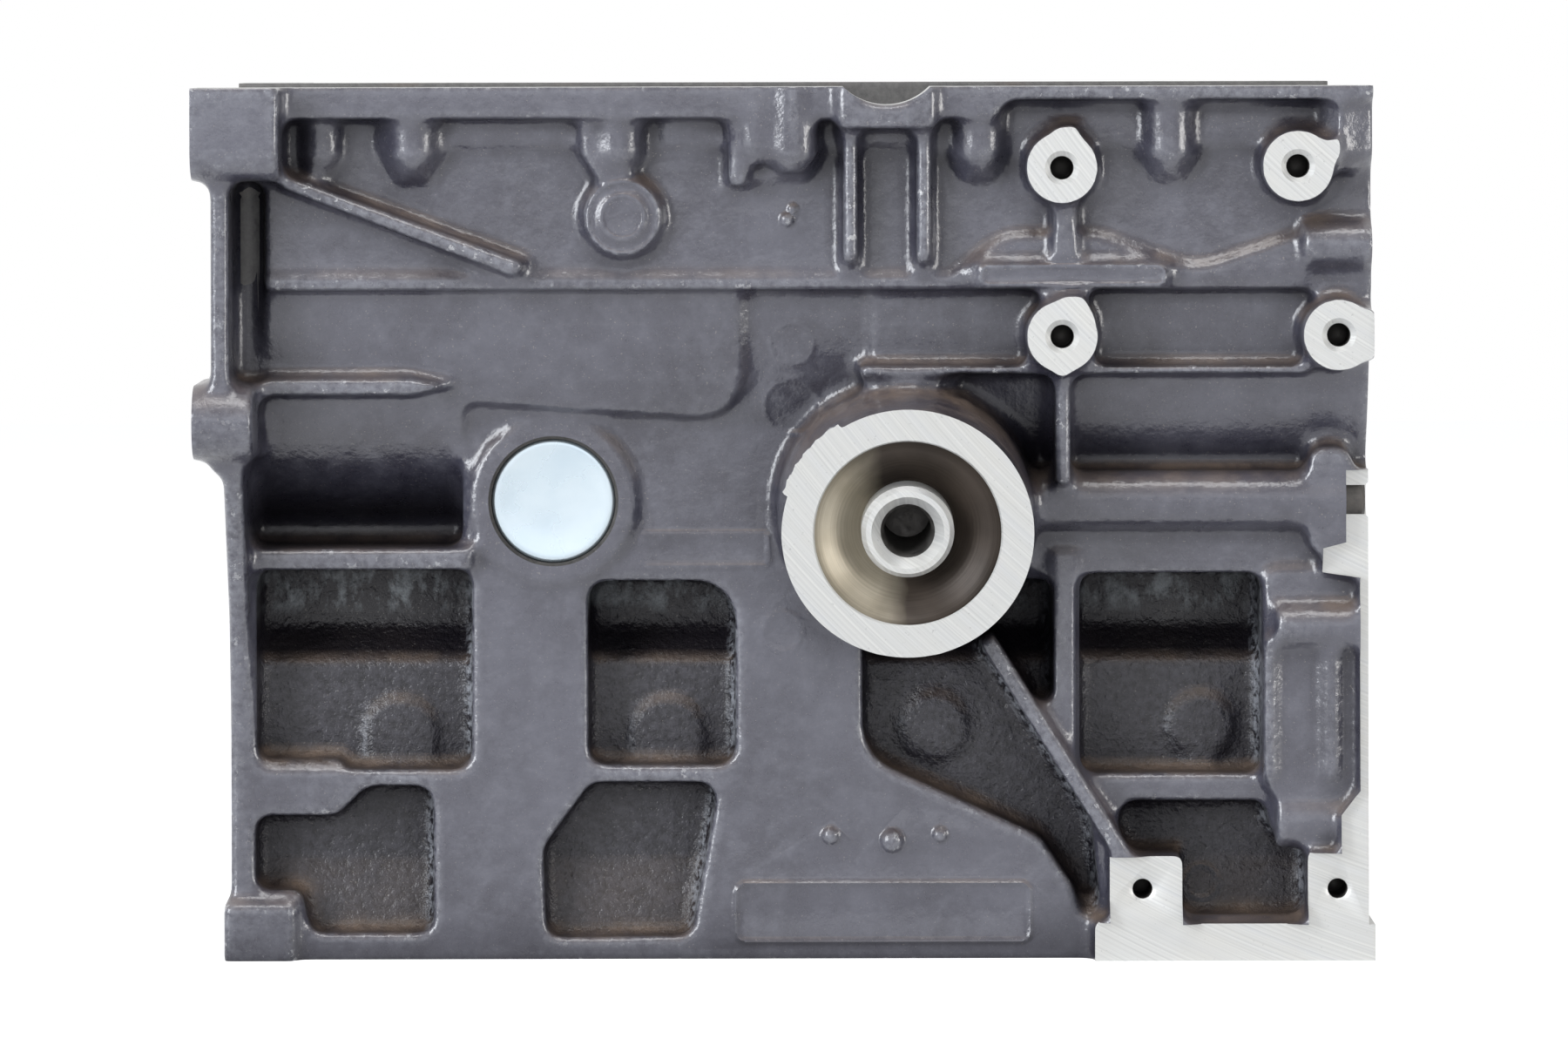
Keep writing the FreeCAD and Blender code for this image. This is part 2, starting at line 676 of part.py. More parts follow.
def cylinder_bores():
    """Four bores from the deck into the bays."""
    return [rod(f"cylinder_bore_{i}", bore, (pitch * k, 0, -1), "z", bore_length + 2)
            for i, k in enumerate(CYLINDERS, start=1)]


def water_jacket():
    """The space round the barrels, closed by the deck and cored in from the far side plugs."""
    low, high = S["jacket_low"], S["jacket_high"]
    inner = bore + S["barrel_wall"] * 2
    outer = jacket_radius * 2
    shells = [rod(f"jacket_outer_{i}", outer, (pitch * k, 0, low), "z", high - low)
              for i, k in enumerate(CYLINDERS, start=1)]
    barrels = [rod(f"jacket_barrel_{i}", inner, (pitch * k, 0, low - 1), "z", high - low + 2)
               for i, k in enumerate(CYLINDERS, start=1)]
    ends = box("jacket_ends", (pitch * -2 + 6, pitch * 2 - 6), (-outer / 2, outer / 2), (low, high))
    space = common("jacket_space", [fuse("jacket_shells", shells), ends])
    return [cut("water_jacket", space, barrels)]


def deck_holes():
    """Head bolt holes in five pairs, coolant holes into the jacket and oil returns."""
    y = jacket - S["head_bolt_in"]
    made = []
    for i, k in enumerate(BULKHEADS, start=1):
        for side, sign in (("front", -1), ("far", 1)):
            made.append(rod(f"head_hole_{i}_{side}", S["head_hole"], (pitch * k, y * sign, -1), "z", 71))
    ring = jacket_radius - S["jacket_gap"] / 2
    for i, k in enumerate(CYLINDERS, start=1):
        for side, sign in (("front", -1), ("far", 1)):
            made.append(rod(f"coolant_{i}_{side}", 6, (pitch * k, ring * sign, -1), "z", S["jacket_low"] + 3))
    return made


def main_bearing_bore():
    """The line bore through all five bulkheads; the caps are bored with it."""
    return [rod("main_bearing_bore", main_bore, (rear_face - 1, 0, crank), "x", timing_face - rear_face + 2)]


def cap_screw_holes():
    """Threaded holes for the main cap bolts, at their thread's outside diameter."""
    made = []
    for i, k in enumerate(BULKHEADS, start=1):
        for side, sign in (("front", -1), ("far", 1)):
            base = (pitch * k, cap_bolt_y * sign, crank - S["cap_bolt_depth"] - 3)
            made.append(rod(f"cap_hole_{i}_{side}", S["cap_bolt"], base, "z", S["cap_bolt_depth"] + 4))
    return made


def threaded_holes():
    """Blind threaded holes, drilled at the size of the thread's crest circle."""
    made = []
    for name, (x, rise) in ACCESSORY_BOSSES.items():
        made.append(rod(f"{name}_hole", S["accessory_hole"], (x, -(boss_face + 1), crank + rise), "y", 18))
    for name, (x, z) in LOW_BOSSES.items():
        made.append(rod(f"{name}_hole", S["accessory_hole"] - 1, (x, -(pad + 1), z), "y", 21))
    for i, x in enumerate(PAN_BOLTS_FRONT, start=1):
        made.append(rod(f"pan_hole_front_{i}", S["pan_hole"], (x, pan_bolt_front, pan - 16), "z", 17))
    for i, x in enumerate(PAN_BOLTS_FAR, start=1):
        made.append(rod(f"pan_hole_far_{i}", S["pan_hole"], (x, pan_bolt_far, pan - 16), "z", 17))
    for i, (x, z) in enumerate(FAR_BOSSES, start=1):
        made.append(rod(f"far_hole_{i}", S["accessory_hole"], (x, far_boss_face - 22, z), "y", 23))
    return made


BELL_BOLTS = ((-(skirt + 12), pan - 14), (skirt + 9, pan - 14),
              (-(skirt + 10), crank - 42), (skirt + 9, crank - 42))
COVER_BOLTS = ((-(skirt - 7.5), pan - 27), (skirt - 7.5, pan - 27),
               (-(case_radius - 38), crank - 58), (case_radius - 38, crank - 58),
               (-52, 96), (52, 96), (-32, 24), (32, 24))


def cover_bosses():
    """Round bosses inside the skirt walls that give the two highest cover screws their metal."""
    return [rod(f"cover_boss_{i}", 14, (timing_face - 16, y, z), "x", 16)
            for i, (y, z) in enumerate(COVER_BOLTS[:2], start=1)]


def end_holes():
    """Gearbox bolt holes in the lugs, and cover screw holes in the timing end."""
    made = []
    for i, (y, z) in enumerate(BELL_BOLTS, start=1):
        made.append(rod(f"bell_hole_{i}", S["bell_hole"], (rear_face - 1, y, z), "x", 16))
    for i, (y, z) in enumerate(COVER_BOLTS, start=1):
        made.append(rod(f"cover_hole_{i}", S["cover_hole"], (timing_face - 12, y, z), "x", 13))
    return made


def timing_facing():
    """The cut that faces the timing end above the foot of the bracket pad."""
    reach = lug_face + 5
    return [box("timing_facing", (timing_face, timing_face + 5), (-reach, reach), (11, pan + 5))]


def plug_bores():
    """Bores that the core plugs and the gallery plug are pressed into."""
    made = [rod("plug_bore_front", S["core_plug"], (front_plug_x, -(band + 4), front_plug_z), "y", 30)]
    for i, k in enumerate(CYLINDERS[1:], start=1):
        made.append(rod(f"plug_bore_far_{i}", jacket_plug, (pitch * k, jacket - 12, jacket_plug_z), "y", 20))
    made.append(rod("plug_bore_rear", S["core_plug"], (rear_wall - 1, 0, REAR_PLUG_Z), "x", 9))
    made.append(rod("gallery_bore", S["gallery"], (44, gallery_y, gallery_z), "x", timing_face - 43))
    return made


REAR_PLUG_Z = 60


def pipe_half_bore():
    """The half bore in the pan rail face."""
    return [rod("pipe_half_bore", 37, (26.2, -(rail + 11), pan + 13), "y", 32)]


def seal_seat():
    """The round seat in the gearbox flange for the crank seal carrier."""
    return [rod("seal_seat", 116, (rear_face - 1, 0, crank), "x", rear_wall - rear_face + 1)]


def cylinder_block():
    """The casting: walls, ribs and bosses joined, bays opened, saddles and lugs added, then machined."""
    outside = core() + case_skins() + pan_rail() + rail_step() + band_slab() + jacket_buttons() + wall_ribs()
    outside += half_rounds() + accessory_bosses() + bracket_pad() + pan_bosses() + pipe_saddle() + disc_boss()
    outside += plug_boss() + gearbox_flange() + filter_flange() + far_side()
    body = fuse("casting_outside", outside)
    opened = cut("casting_opened", body, crankcase_cavities() + flange_groove())
    joined = fuse("casting_raw", [opened] + saddles() + cover_bosses() + lugs())
    machining = cylinder_bores() + water_jacket() + deck_holes() + main_bearing_bore() + cap_screw_holes()
    machining += threaded_holes() + end_holes() + plug_bores() + pipe_half_bore() + seal_seat()
    machining += filter_cuts() + timing_facing()
    finished = cut("cylinder_block", joined, machining)
    finished.Refine = True
    return finished


# ---- main caps and bolts -------------------------------------------------------------------------

def main_cap(index, k):
    """An arched cap over one main bearing, drilled for its two bolts."""
    seat = crank + S["cap_seat"]
    crown = crank + main_bore / 2 + S["cap_crown"]
    shoulder = cap_half - S["cap_bolt"] - 14
    half = [(cap_half, crank), (cap_half, seat), (shoulder, seat), (shoulder - 8, crown, 8)]
    corners = [(-u, v, *corner) for u, v, *corner in half] + half[::-1]
    left = rear_wall if k == -2 else pitch * k - S["saddle"] / 2
    right = timing_face if k == 2 else pitch * k + S["saddle"] / 2
    solid = section(f"cap_blank_{index}", corners, left, right)
    drills = [rod(f"cap_bearing_{index}", main_bore, (left - 1, 0, crank), "x", right - left + 2)]
    for side, sign in (("front", -1), ("far", 1)):
        base = (pitch * k, cap_bolt_y * sign, crank - 1)
        drills.append(rod(f"cap_drill_{index}_{side}", S["cap_bolt"] + 1, base, "z", S["cap_seat"] + 2))
    return cut(f"main_cap_{index}", solid, drills)


def body_sketch(body, name, role):
    """An empty sketch on one of the body's own origin planes."""
    plane = [f for f in body.Origin.OriginFeatures if f.Role == role][0]
    sketch = body.newObject("Sketcher::SketchObject", name)
    sketch.AttachmentSupport = [(plane, "")]
    sketch.MapMode = "FlatFace"
    return sketch


def revolved(name, corners):
    """A body turned about its own Z axis from a (radius, height) outline."""
    body = doc.addObject("PartDesign::Body", name)
    sketch = body_sketch(body, name + "_profile", "XZ_Plane")
    outline(sketch, corners)
    turned = body.newObject("PartDesign::Revolution", name + "_turned")
    turned.Profile = sketch
    turned.ReferenceAxis = (sketch, ["V_Axis"])
    turned.Angle = 360
    body.Tip = turned
    return body


def cap_bolt(name, k, sign):
    """A flanged hexagon bolt: turned blank with its head's six flats, standing head up on the cap."""
    shank = S["cap_bolt"] / 2 - S["fit_gap"]
    depth = S["cap_seat"] + S["cap_bolt_depth"]
    flange = S["cap_bolt"]
    corners = [(0, -depth), (shank, -depth), (shank, 0), (flange, 0), (flange, 2.2), (0, 2.2)]
    body = revolved(name, corners)
    flats = body_sketch(body, name + "_flats", "XY_Plane")
    corner = S["cap_bolt"] * 0.8 / math.cos(math.pi / 6)
    turns = [math.radians(angle) for angle in range(0, 360, 60)]
    hexagon = [(corner * math.cos(turn), corner * math.sin(turn)) for turn in turns]
    outline(flats, hexagon)
    head = body.newObject("PartDesign::Pad", name + "_head")
    head.Profile = flats
    bind(head, Length=9)
    body.Tip = head
    place(body, (pitch * k, cap_bolt_y * sign, crank + S["cap_seat"]), PLAN)
    return body


# ---- plugs ---------------------------------------------------------------------------------------

def cup_plug(name, diameter, base, turn):
    """A pressed steel cup plug: its crown faces out and its skirt grips the bore."""
    radius = diameter / 2 - S["fit_gap"]
    corners = [(0, -1.6), (radius - 1.6, -1.6), (radius - 1.6, -7), (radius, -7), (radius, -1.5),
               (radius - 1.5, 0), (0, 0)]
    body = revolved(name, corners)
    place(body, base, turn)
    return body


def plugs():
    """Core plugs with their crowns 1.5 mm below the boss faces, and the gallery's screw plug."""
    out_front = FreeCAD.Rotation(FreeCAD.Vector(1, 0, 0), 90)
    out_far = FreeCAD.Rotation(FreeCAD.Vector(1, 0, 0), -90)
    out_rear = FreeCAD.Rotation(FreeCAD.Vector(0, 1, 0), -90)
    out_timing = FreeCAD.Rotation(FreeCAD.Vector(0, 1, 0), 90)
    made = [cup_plug("core_plug_front", S["core_plug"], (front_plug_x, -(band + 1), front_plug_z), out_front)]
    for i, k in enumerate(CYLINDERS[1:], start=1):
        seat = (pitch * k, jacket + 1, jacket_plug_z)
        made.append(cup_plug(f"core_plug_far_{i}", jacket_plug, seat, out_far))
    made.append(cup_plug("core_plug_rear", S["core_plug"], (rear_wall + 1, 0, REAR_PLUG_Z), out_rear))
    radius = S["gallery"] / 2 - S["fit_gap"]
    corners = [(0, -9), (radius, -9), (radius, -1), (radius - 1, 0), (3, 0), (3, -4), (0, -4)]
    plug = revolved("gallery_plug", corners)
    place(plug, (timing_face - 1, gallery_y, gallery_z), out_timing)
    return made + [plug]


# ---- the document --------------------------------------------------------------------------------

def build():
    """Makes every sub-part; each one's Label is the name of its file."""
    nodes = [cylinder_block()]
    for index, k in enumerate(BULKHEADS, start=1):
        nodes.append(main_cap(index, k))
        for side, sign in (("front", -1), ("far", 1)):
            nodes.append(cap_bolt(f"main_cap_bolt_{index}_{side}", k, sign))
    nodes += plugs()
    doc.recompute()
    return nodes


def check(nodes):
    """Stops on any failed object, and on a sub-part that is empty, invalid or more than one solid."""
    for thing in doc.Objects:
        if "Invalid" in thing.State or "Error" in thing.State:
            raise RuntimeError(f"{thing.Name}: {thing.State}")
    for node in nodes:
        shape = node.Shape
        if shape.isNull() or not shape.isValid() or len(shape.Solids) != 1:
            raise RuntimeError(f"{node.Label}: null, invalid or {len(shape.Solids)} solids")


def write(nodes):
    os.makedirs("parts", exist_ok=True)
    for node in nodes:
        node.Shape.exportStep(f"parts/{node.Label}.step")


parts = build()
check(parts)
write(parts)
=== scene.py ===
import math

import bmesh
import bpy
import numpy as np
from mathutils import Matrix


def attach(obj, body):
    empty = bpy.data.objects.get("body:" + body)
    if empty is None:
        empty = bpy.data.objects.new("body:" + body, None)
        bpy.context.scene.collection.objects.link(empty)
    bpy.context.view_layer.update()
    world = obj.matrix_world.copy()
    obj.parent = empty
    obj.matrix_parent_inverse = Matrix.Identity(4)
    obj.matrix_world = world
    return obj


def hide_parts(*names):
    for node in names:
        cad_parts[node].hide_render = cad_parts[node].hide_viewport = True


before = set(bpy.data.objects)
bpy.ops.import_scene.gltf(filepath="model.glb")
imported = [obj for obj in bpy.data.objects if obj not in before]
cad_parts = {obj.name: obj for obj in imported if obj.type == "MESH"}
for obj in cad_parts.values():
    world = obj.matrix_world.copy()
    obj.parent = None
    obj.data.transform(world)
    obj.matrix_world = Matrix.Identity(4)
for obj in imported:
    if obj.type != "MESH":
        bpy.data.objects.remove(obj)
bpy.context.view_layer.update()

import openvdb
from mathutils import Vector

# Looks of an inline-four cylinder block that stands on its deck, filter side towards the camera.
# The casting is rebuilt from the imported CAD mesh: its drilled and milled features are filled, the rest is
# rounded as a sand casting is, and the same features are then cut again with crisp edges.
# Shapes are in millimetres, in the CAD frame, and MM turns them into metres. Materials, floor, lamps and
# camera are in metres.

MM = 0.001


# ---- sizes that the CAD fixes --------------------------------------------------------------------

X, Y, Z = Vector((1, 0, 0)), Vector((0, 1, 0)), Vector((0, 0, 1))

# along the crank, and heights over the deck
CYLINDERS = (-123, -41, 41, 123)
BULKHEADS = (-164, -82, 0, 82, 164)
CRANK = 208
PAN = 267

# faces across the crank: gearbox end, seal seat, the wall behind it, timing end and its foot
REAR_FACE = -183
FLANGE_FACE = -177.6
REAR_WALL = -174.5
TIMING = 173
TIMING_FOOT = TIMING + 2
FOOT_SIDE, FOOT_TOP = -39, 11

# faces of the filter side (negative) and of the far side
BOSS_FACE = -105
PAD_FACE = -80
PAD_ROOT = -60
FRONT_PLUG_FACE = -75
FAR_BOSS_FACE = 96
FAR_PLUG_FACE = 61

BORE_R = 38.25
MAIN_R = 29.5
SEAL_R = 58
CASE_R = 80
CASE_WALL_INSIDE = 73
CASE_FLOOR = 134
SIDE_SLOT = (-155, -66)
WATER_JACKET = ((-159, 159), (-52, 52), (8, 89))

# holes: y of those in rows, then (x, z) on the sides and (y, z) on the ends
HEAD_BOLTS_Y = (-47, 47)
CAP_BOLTS_Y = (-40, 40)
COOLANT_Y = (-47.5, 47.5)
ACCESSORY = ((79, CRANK + 34.4), (150.2, CRANK + 34.8), (79, CRANK - 16.5), (162.4, CRANK - 16.2))
LOW_SCREWS = ((104, 22), (163.5, 22))
PAN_FRONT = (-117.2, -55, -2.4, 54.5, 111.7, 165)
PAN_FAR = (-165, -111.7, -54.5, 2.4, 55, 117.2, 165)
PAN_FRONT_Y, PAN_FAR_Y = -94, 93
FAR_BOSSES = ((-140, CRANK - 44.5), (-98.5, CRANK - 44.5), (62, CRANK - 44.5), (118, CRANK - 44.5))
BELL_BOLTS = ((-104, 253), (101, 253), (-102, 166), (101, 166))
COVER_BOLTS = ((-84.5, 240), (84.5, 240), (-50, 150), (50, 150), (-52, 96), (52, 96), (-32, 24), (32, 24))
GALLERY = (-76, 140.6)

# core plugs: places and the radii of their bores; FIT is the gap round a plug
FRONT_PLUG = (-75.5, 140.3)
FAR_PLUGS, FAR_PLUG_Z = (-41, 41, 123), 56
REAR_PLUG = (0, 60)
PLUG_R, FAR_PLUG_R = 19, 18
FIT = 0.02

# the oil filter's flange leans back by FILTER_TILT
FILTER_CENTRE = Vector((32.2, -112, CRANK - 75.4))
FILTER_TILT = math.radians(-8)
FILTER_OUT = Vector((0, -math.cos(FILTER_TILT), math.sin(FILTER_TILT)))
FILTER_R = 38

# the half round notch in the pan rail, and the bracket pad's outline on the filter side
NOTCH_R, NOTCH_DEPTH, NOTCH_AXIS = 18.5, 32, (26.2, -115, PAN + 13)
PAD_OUTLINE = (
    (89.5, -3), (178, -3), (178, 11), (177, 149.8), (166, 149.8), (166, 127.8), (159, 126),
    (159, 118.5), (170.3, 117), (170.3, 52), (164.5, 44.5), (164.5, 33), (154.4, 33), (154.4, 11.4),
    (116.1, 11.4), (116.1, 32), (94, 32), (94, 12), (89.5, 12),
)


# ---- the casting as a distance field -------------------------------------------------------------

# VOXEL, CAST_FILLET and CAST_BLUR are in metres; BAND and MARGIN count voxels
VOXEL = 0.8 * MM
BAND = 6
MARGIN = 12
CAST_FILLET = 3.0 * MM
CAST_BLUR = 1.1 * MM
FIELD_TOLERANCE = 1e-7

# stock left on milled faces, how far inside a face its section is read, reach of the field round a shape
STOCK = 4
SECTION_DEPTH = 1.7
SHAPE_REACH = 6
EVERYWHERE = ((-1000, -1000, -1000), (1000, 1000, 1000))

# axis, places in the other two coordinates, radius, start, end
FILLED_HOLES = (
    (2, [(x, 0) for x in CYLINDERS], BORE_R + 1, -1, 136),
    (2, [(x, y) for x in BULKHEADS for y in HEAD_BOLTS_Y], 5.5, -1, 72),
    (2, [(x, y) for x in BULKHEADS for y in CAP_BOLTS_Y], 6, 172, CRANK),
    (1, ACCESSORY, 5.5, BOSS_FACE, -86),
    (1, LOW_SCREWS, 5, PAD_FACE, -58),
    (2, [(x, PAN_FRONT_Y) for x in PAN_FRONT], 3.6, 250, PAN),
    (2, [(x, PAN_FAR_Y) for x in PAN_FAR], 3.6, 250, PAN),
    (1, FAR_BOSSES, 5.5, 72, FAR_BOSS_FACE),
    (0, BELL_BOLTS, 6.5, REAR_FACE, -165),
    (0, COVER_BOLTS, 3.6, 158, TIMING),
    (1, [FRONT_PLUG], PLUG_R + 1, FRONT_PLUG_FACE, -52),
    (1, [(x, FAR_PLUG_Z) for x in FAR_PLUGS], FAR_PLUG_R + 1, 44, FAR_PLUG_FACE),
    (0, [REAR_PLUG], PLUG_R + 1, REAR_WALL, -165),
    (0, [GALLERY], 7, 43, TIMING),
    (0, [(0, CRANK)], SEAL_R + 1, FLANGE_FACE, REAR_WALL + 0.5),
)

# bare marks of the pattern; rings: x, z, radius, distance of the wall from the mid-plane, height
CAST_RINGS = (
    (-2.6, 188.6, 6.6, 80, 0.35), (-2.6, 169.3, 8.4, 78, 0.4), (-5.5, 100, 6, 72, 0.35),
    (-53.6, CRANK + 19.6, 10.9, 96, 0.8), (-53.6, CRANK + 19.6, 6.6, 96, 0.6), (123, 22, 5, 62, 0.4),
)
# pins: x, z, radius, distance of the centre from the mid-plane
CAST_PINS = (
    (8.9, 37.6, 3, 71.2), (27.8, 36, 3.9, 71.2), (42.4, 37.8, 2.7, 71.2), (-3.9, 226.6, 2.6, 91.2),
    (-2.2, 229.8, 1.9, 91.5),
)
# frames: left, right, low, high, corner radius, distance of the wall from the mid-plane, height
CAST_FRAMES = (
    (-19.9, 70.1, 5.3, 23.2, 3.2, 72, 0.8), (-48.4, -9.8, 120.2, 130.2, 1.5, 72, 0.6),
    (54.6, 110.3, CRANK - 1.2, CRANK + 4.6, 2.6, 97, 0.8),
)
LINE_HALF, LINE_FLANK, LINE_REACH, MARK_DEPTH = 0.65, 0.8, 3, 7

# the lip round the filter flange: middle and half of its arc in degrees, radius of its section
LIP_MIDDLE, LIP_HALF, LIP_R = 142, 20, 1.5


def read_array(items, name, width, kind=np.float32):
    """One property of all items of a mesh, in rows of a width."""
    values = np.empty(len(items) * width, kind)
    items.foreach_get(name, values)
    return values.reshape(-1, width)


def blurred(values, sigma):
    """Values on a grid softened by a bell-shaped filter, one axis at a time; sigma is in metres."""
    steps = max(1, int(math.ceil(2.5 * sigma / VOXEL)))
    weights = np.exp(-0.5 * (np.arange(-steps, steps + 1) * VOXEL / sigma) ** 2)
    weights = (weights / weights.sum()).astype(np.float32)
    for axis in range(3):
        made = values * weights[steps]
        for k in range(1, steps + 1):
            ahead = [slice(None)] * 3
            back = [slice(None)] * 3
            ahead[axis] = slice(k, None)
            back[axis] = slice(None, -k)
            made[tuple(back)] += values[tuple(ahead)] * weights[steps + k]
            made[tuple(ahead)] += values[tuple(back)] * weights[steps - k]
        values = made
    return values


class Field:
    """Distance to the casting's skin on a regular grid, in metres, negative in the iron."""

    def __init__(self, points, triangles):
        self.transform = openvdb.createLinearTransform(VOXEL)
        grid = openvdb.FloatGrid.createLevelSetFromPolygons(points, triangles, None, self.transform, BAND)
        low, high = grid.evalActiveVoxelBoundingBox()
        self.low = np.array(low) - MARGIN
        self.size = np.array(high) + MARGIN + 1 - self.low
        self.values = np.empty(self.size, np.float32)
        self.read(grid)

    def corner(self):
        """The grid cell that the array of values starts at."""
        return tuple(int(n) for n in self.low)

    def read(self, grid):
        grid.copyToArray(self.values, self.corner())

    def grid(self):
        made = openvdb.FloatGrid(BAND * VOXEL)
        made.copyFromArray(self.values, self.corner(), FIELD_TOLERANCE)
        made.transform = self.transform
        made.gridClass = openvdb.GridClass.LEVEL_SET
        return made

    def span(self, axis, start, end):
        """Grid indices between two places in millimetres along one axis."""
        first = math.ceil(start * MM / VOXEL) - self.low[axis]
        last = math.floor(end * MM / VOXEL) - self.low[axis] + 1
        return slice(max(0, int(first)), min(int(self.size[axis]), int(last)))

    def window(self, low, high):
        """The slices of a box in millimetres, and the three coordinates in it, in millimetres."""
        slices = tuple(self.span(a, low[a], high[a]) for a in range(3))
        places = [(np.arange(s.start, s.stop) + self.low[a]) * (VOXEL / MM) for a, s in enumerate(slices)]
        return slices, np.meshgrid(*places, indexing="ij", sparse=True)

    def add(self, low, high, distance):
        """Joins a shape, given as a function of x, y, z in millimetres, inside a box."""
        slices, (x, y, z) = self.window([v - SHAPE_REACH for v in low], [v + SHAPE_REACH for v in high])
        self.values[slices] = np.minimum(self.values[slices], distance(x, y, z).astype(np.float32) * MM)

    def emboss(self, low, high, raised):
        """Raises the skin inside a box by the height in millimetres that a function of x and z gives."""
        slices, (x, _, z) = self.window(low, high)
        self.values[slices] -= raised(x, z).astype(np.float32) * MM

    def fill_rod(self, axis, centre, radius, start, end):
        """Fills a hole along an axis; centre holds the other two coordinates."""
        others = [a for a in range(3) if a != axis]
        low, high = [0, 0, 0], [0, 0, 0]
        low[axis], high[axis] = start, end
        for a, c in zip(others, centre):
            low[a], high[a] = c - radius, c + radius

        def rod(*p):
            round_ = np.hypot(p[others[0]] - centre[0], p[others[1]] - centre[1]) - radius
            along = np.maximum(start - p[axis], p[axis] - end)
            return np.maximum(round_, along)

        self.add(low, high, rod)

    def draw_out(self, axis, face, direction, window=EVERYWHERE):
        """Adds machining stock: repeats the section just inside a face outwards."""
        slices = [self.span(a, window[0][a], window[1][a]) for a in range(3)]
        inside = face - direction * SECTION_DEPTH
        index = int(round(inside * MM / VOXEL)) - self.low[axis]
        end = int(round((face + direction * STOCK) * MM / VOXEL)) - self.low[axis]
        source = list(slices)
        source[axis] = slice(index, index + 1)
        target = list(slices)
        target[axis] = slice(index, end) if direction > 0 else slice(end, index + 1)
        self.values[tuple(target)] = self.values[tuple(source)]

    def offset(self, distance):
        """Moves the skin outwards by a distance and measures the field again from there."""
        points, triangles, quads = self.grid().convertToPolygons(distance, 0.0)
        grid = openvdb.FloatGrid.createLevelSetFromPolygons(points, triangles, quads, self.transform, BAND)
        self.read(grid)


def fill_machining(field):
    """Fills every hole that is drilled after casting, and the hidden water jacket."""
    jacket = tuple(field.span(axis, *reach) for axis, reach in enumerate(WATER_JACKET))
    field.values[jacket] = -BAND * VOXEL
    for axis, places, radius, start, end in FILLED_HOLES:
        for place in places:
            field.fill_rod(axis, place, radius, start, end)


def add_stock(field):
    """Leaves metal to machine away at each milled face, so that its edges stay crisp."""
    field.draw_out(2, 0, -1)
    field.draw_out(2, PAN, 1)
    field.draw_out(0, TIMING, 1, ((0, -130, FOOT_TOP + 1), (200, 130, 300)))
    field.draw_out(0, TIMING_FOOT, 1, ((0, -130, -10), (200, 130, FOOT_TOP + 1)))
    field.draw_out(0, REAR_FACE, -1)
    for x, z in ACCESSORY:
        field.draw_out(1, BOSS_FACE, -1, ((x - 16, BOSS_FACE - 10, z - 20), (x + 16, BOSS_FACE + 5, z + 20)))
    field.add((85, PAD_FACE - STOCK, -6), (182, PAD_ROOT, 154), pad_stock)
    for x, z in FAR_BOSSES:
        window = ((x - 14, FAR_BOSS_FACE - 6, z - 14), (x + 14, FAR_BOSS_FACE + 8, z + 14))
        field.draw_out(1, FAR_BOSS_FACE, 1, window)


def polygon_distance(x, z, corners):
    """Distance to the edge of a polygon in its plane, negative inside."""
    nearest = np.full(np.broadcast(x, z).shape, 1e9)
    inside = np.zeros(nearest.shape, bool)
    for (x0, z0), (x1, z1) in zip(corners, corners[1:] + corners[:1]):
        along, up = x1 - x0, z1 - z0
        share = np.clip(((x - x0) * along + (z - z0) * up) / (along * along + up * up), 0, 1)
        nearest = np.minimum(nearest, np.hypot(x - x0 - share * along, z - z0 - share * up))
        if up:
            inside ^= ((z0 <= z) != (z1 <= z)) & (x < x0 + (z - z0) * along / up)
    return np.where(inside, -nearest, nearest)


def pad_stock(x, y, z):
    """The bracket pad with metal left on its face."""
    return np.maximum(polygon_distance(x, z, PAD_OUTLINE), np.maximum(PAD_FACE - STOCK - y, y - PAD_ROOT))


def about_filter(x, y, z):
    """Distances along the filter's axis and away from it, and the angle round it in degrees."""
    dx, dy, dz = x - FILTER_CENTRE.x, y - FILTER_CENTRE.y, z - FILTER_CENTRE.z
    along = dx * FILTER_OUT.x + dy * FILTER_OUT.y + dz * FILTER_OUT.z
    away = np.sqrt(np.maximum(dx * dx + dy * dy + dz * dz - along * along, 0))
    return along, away, np.degrees(np.arctan2(dz, dx))


def add_filter_stock(field):
    """Fills the filter's ring recess and bore, and leaves stock on its flange."""

    def rod(x, y, z):
        along, away, _ = about_filter(x, y, z)
        return np.maximum(away - FILTER_R, np.maximum(along - STOCK, -along - 42))

    field.add((-12, -120, 86), (76, -60, 178), rod)


def add_filter_lip(field):
    """A rough cast lip that stands out round one side of the filter flange."""

    def lip(x, y, z):
        along, away, angle = about_filter(x, y, z)
        ragged = 0.5 * np.sin(angle * 0.9) + 0.35 * np.sin(angle * 2.3 + 1)
        ends = (np.abs(angle - LIP_MIDDLE) - LIP_HALF) * 0.6
        return np.maximum(np.hypot(away - FILTER_R - 0.4, along + 0.6) - LIP_R - ragged * 0.4, ends)

    field.add((-12, -120, 120), (34, -100, 178), lip)


def line(away):
    """Section of a raised line: 1 on the line, 0 beside it, with sloping flanks."""
    return np.clip(0.5 + (LINE_HALF - np.abs(away)) / LINE_FLANK, 0, 1)


def emboss_on_wall(field, left, right, low, high, wall, raised):
    """Raises lines on a wall of the filter side, between limits in x and z."""
    field.emboss((left - LINE_REACH, -wall - MARK_DEPTH, low - LINE_REACH),
                 (right + LINE_REACH, MARK_DEPTH - wall, high + LINE_REACH), raised)


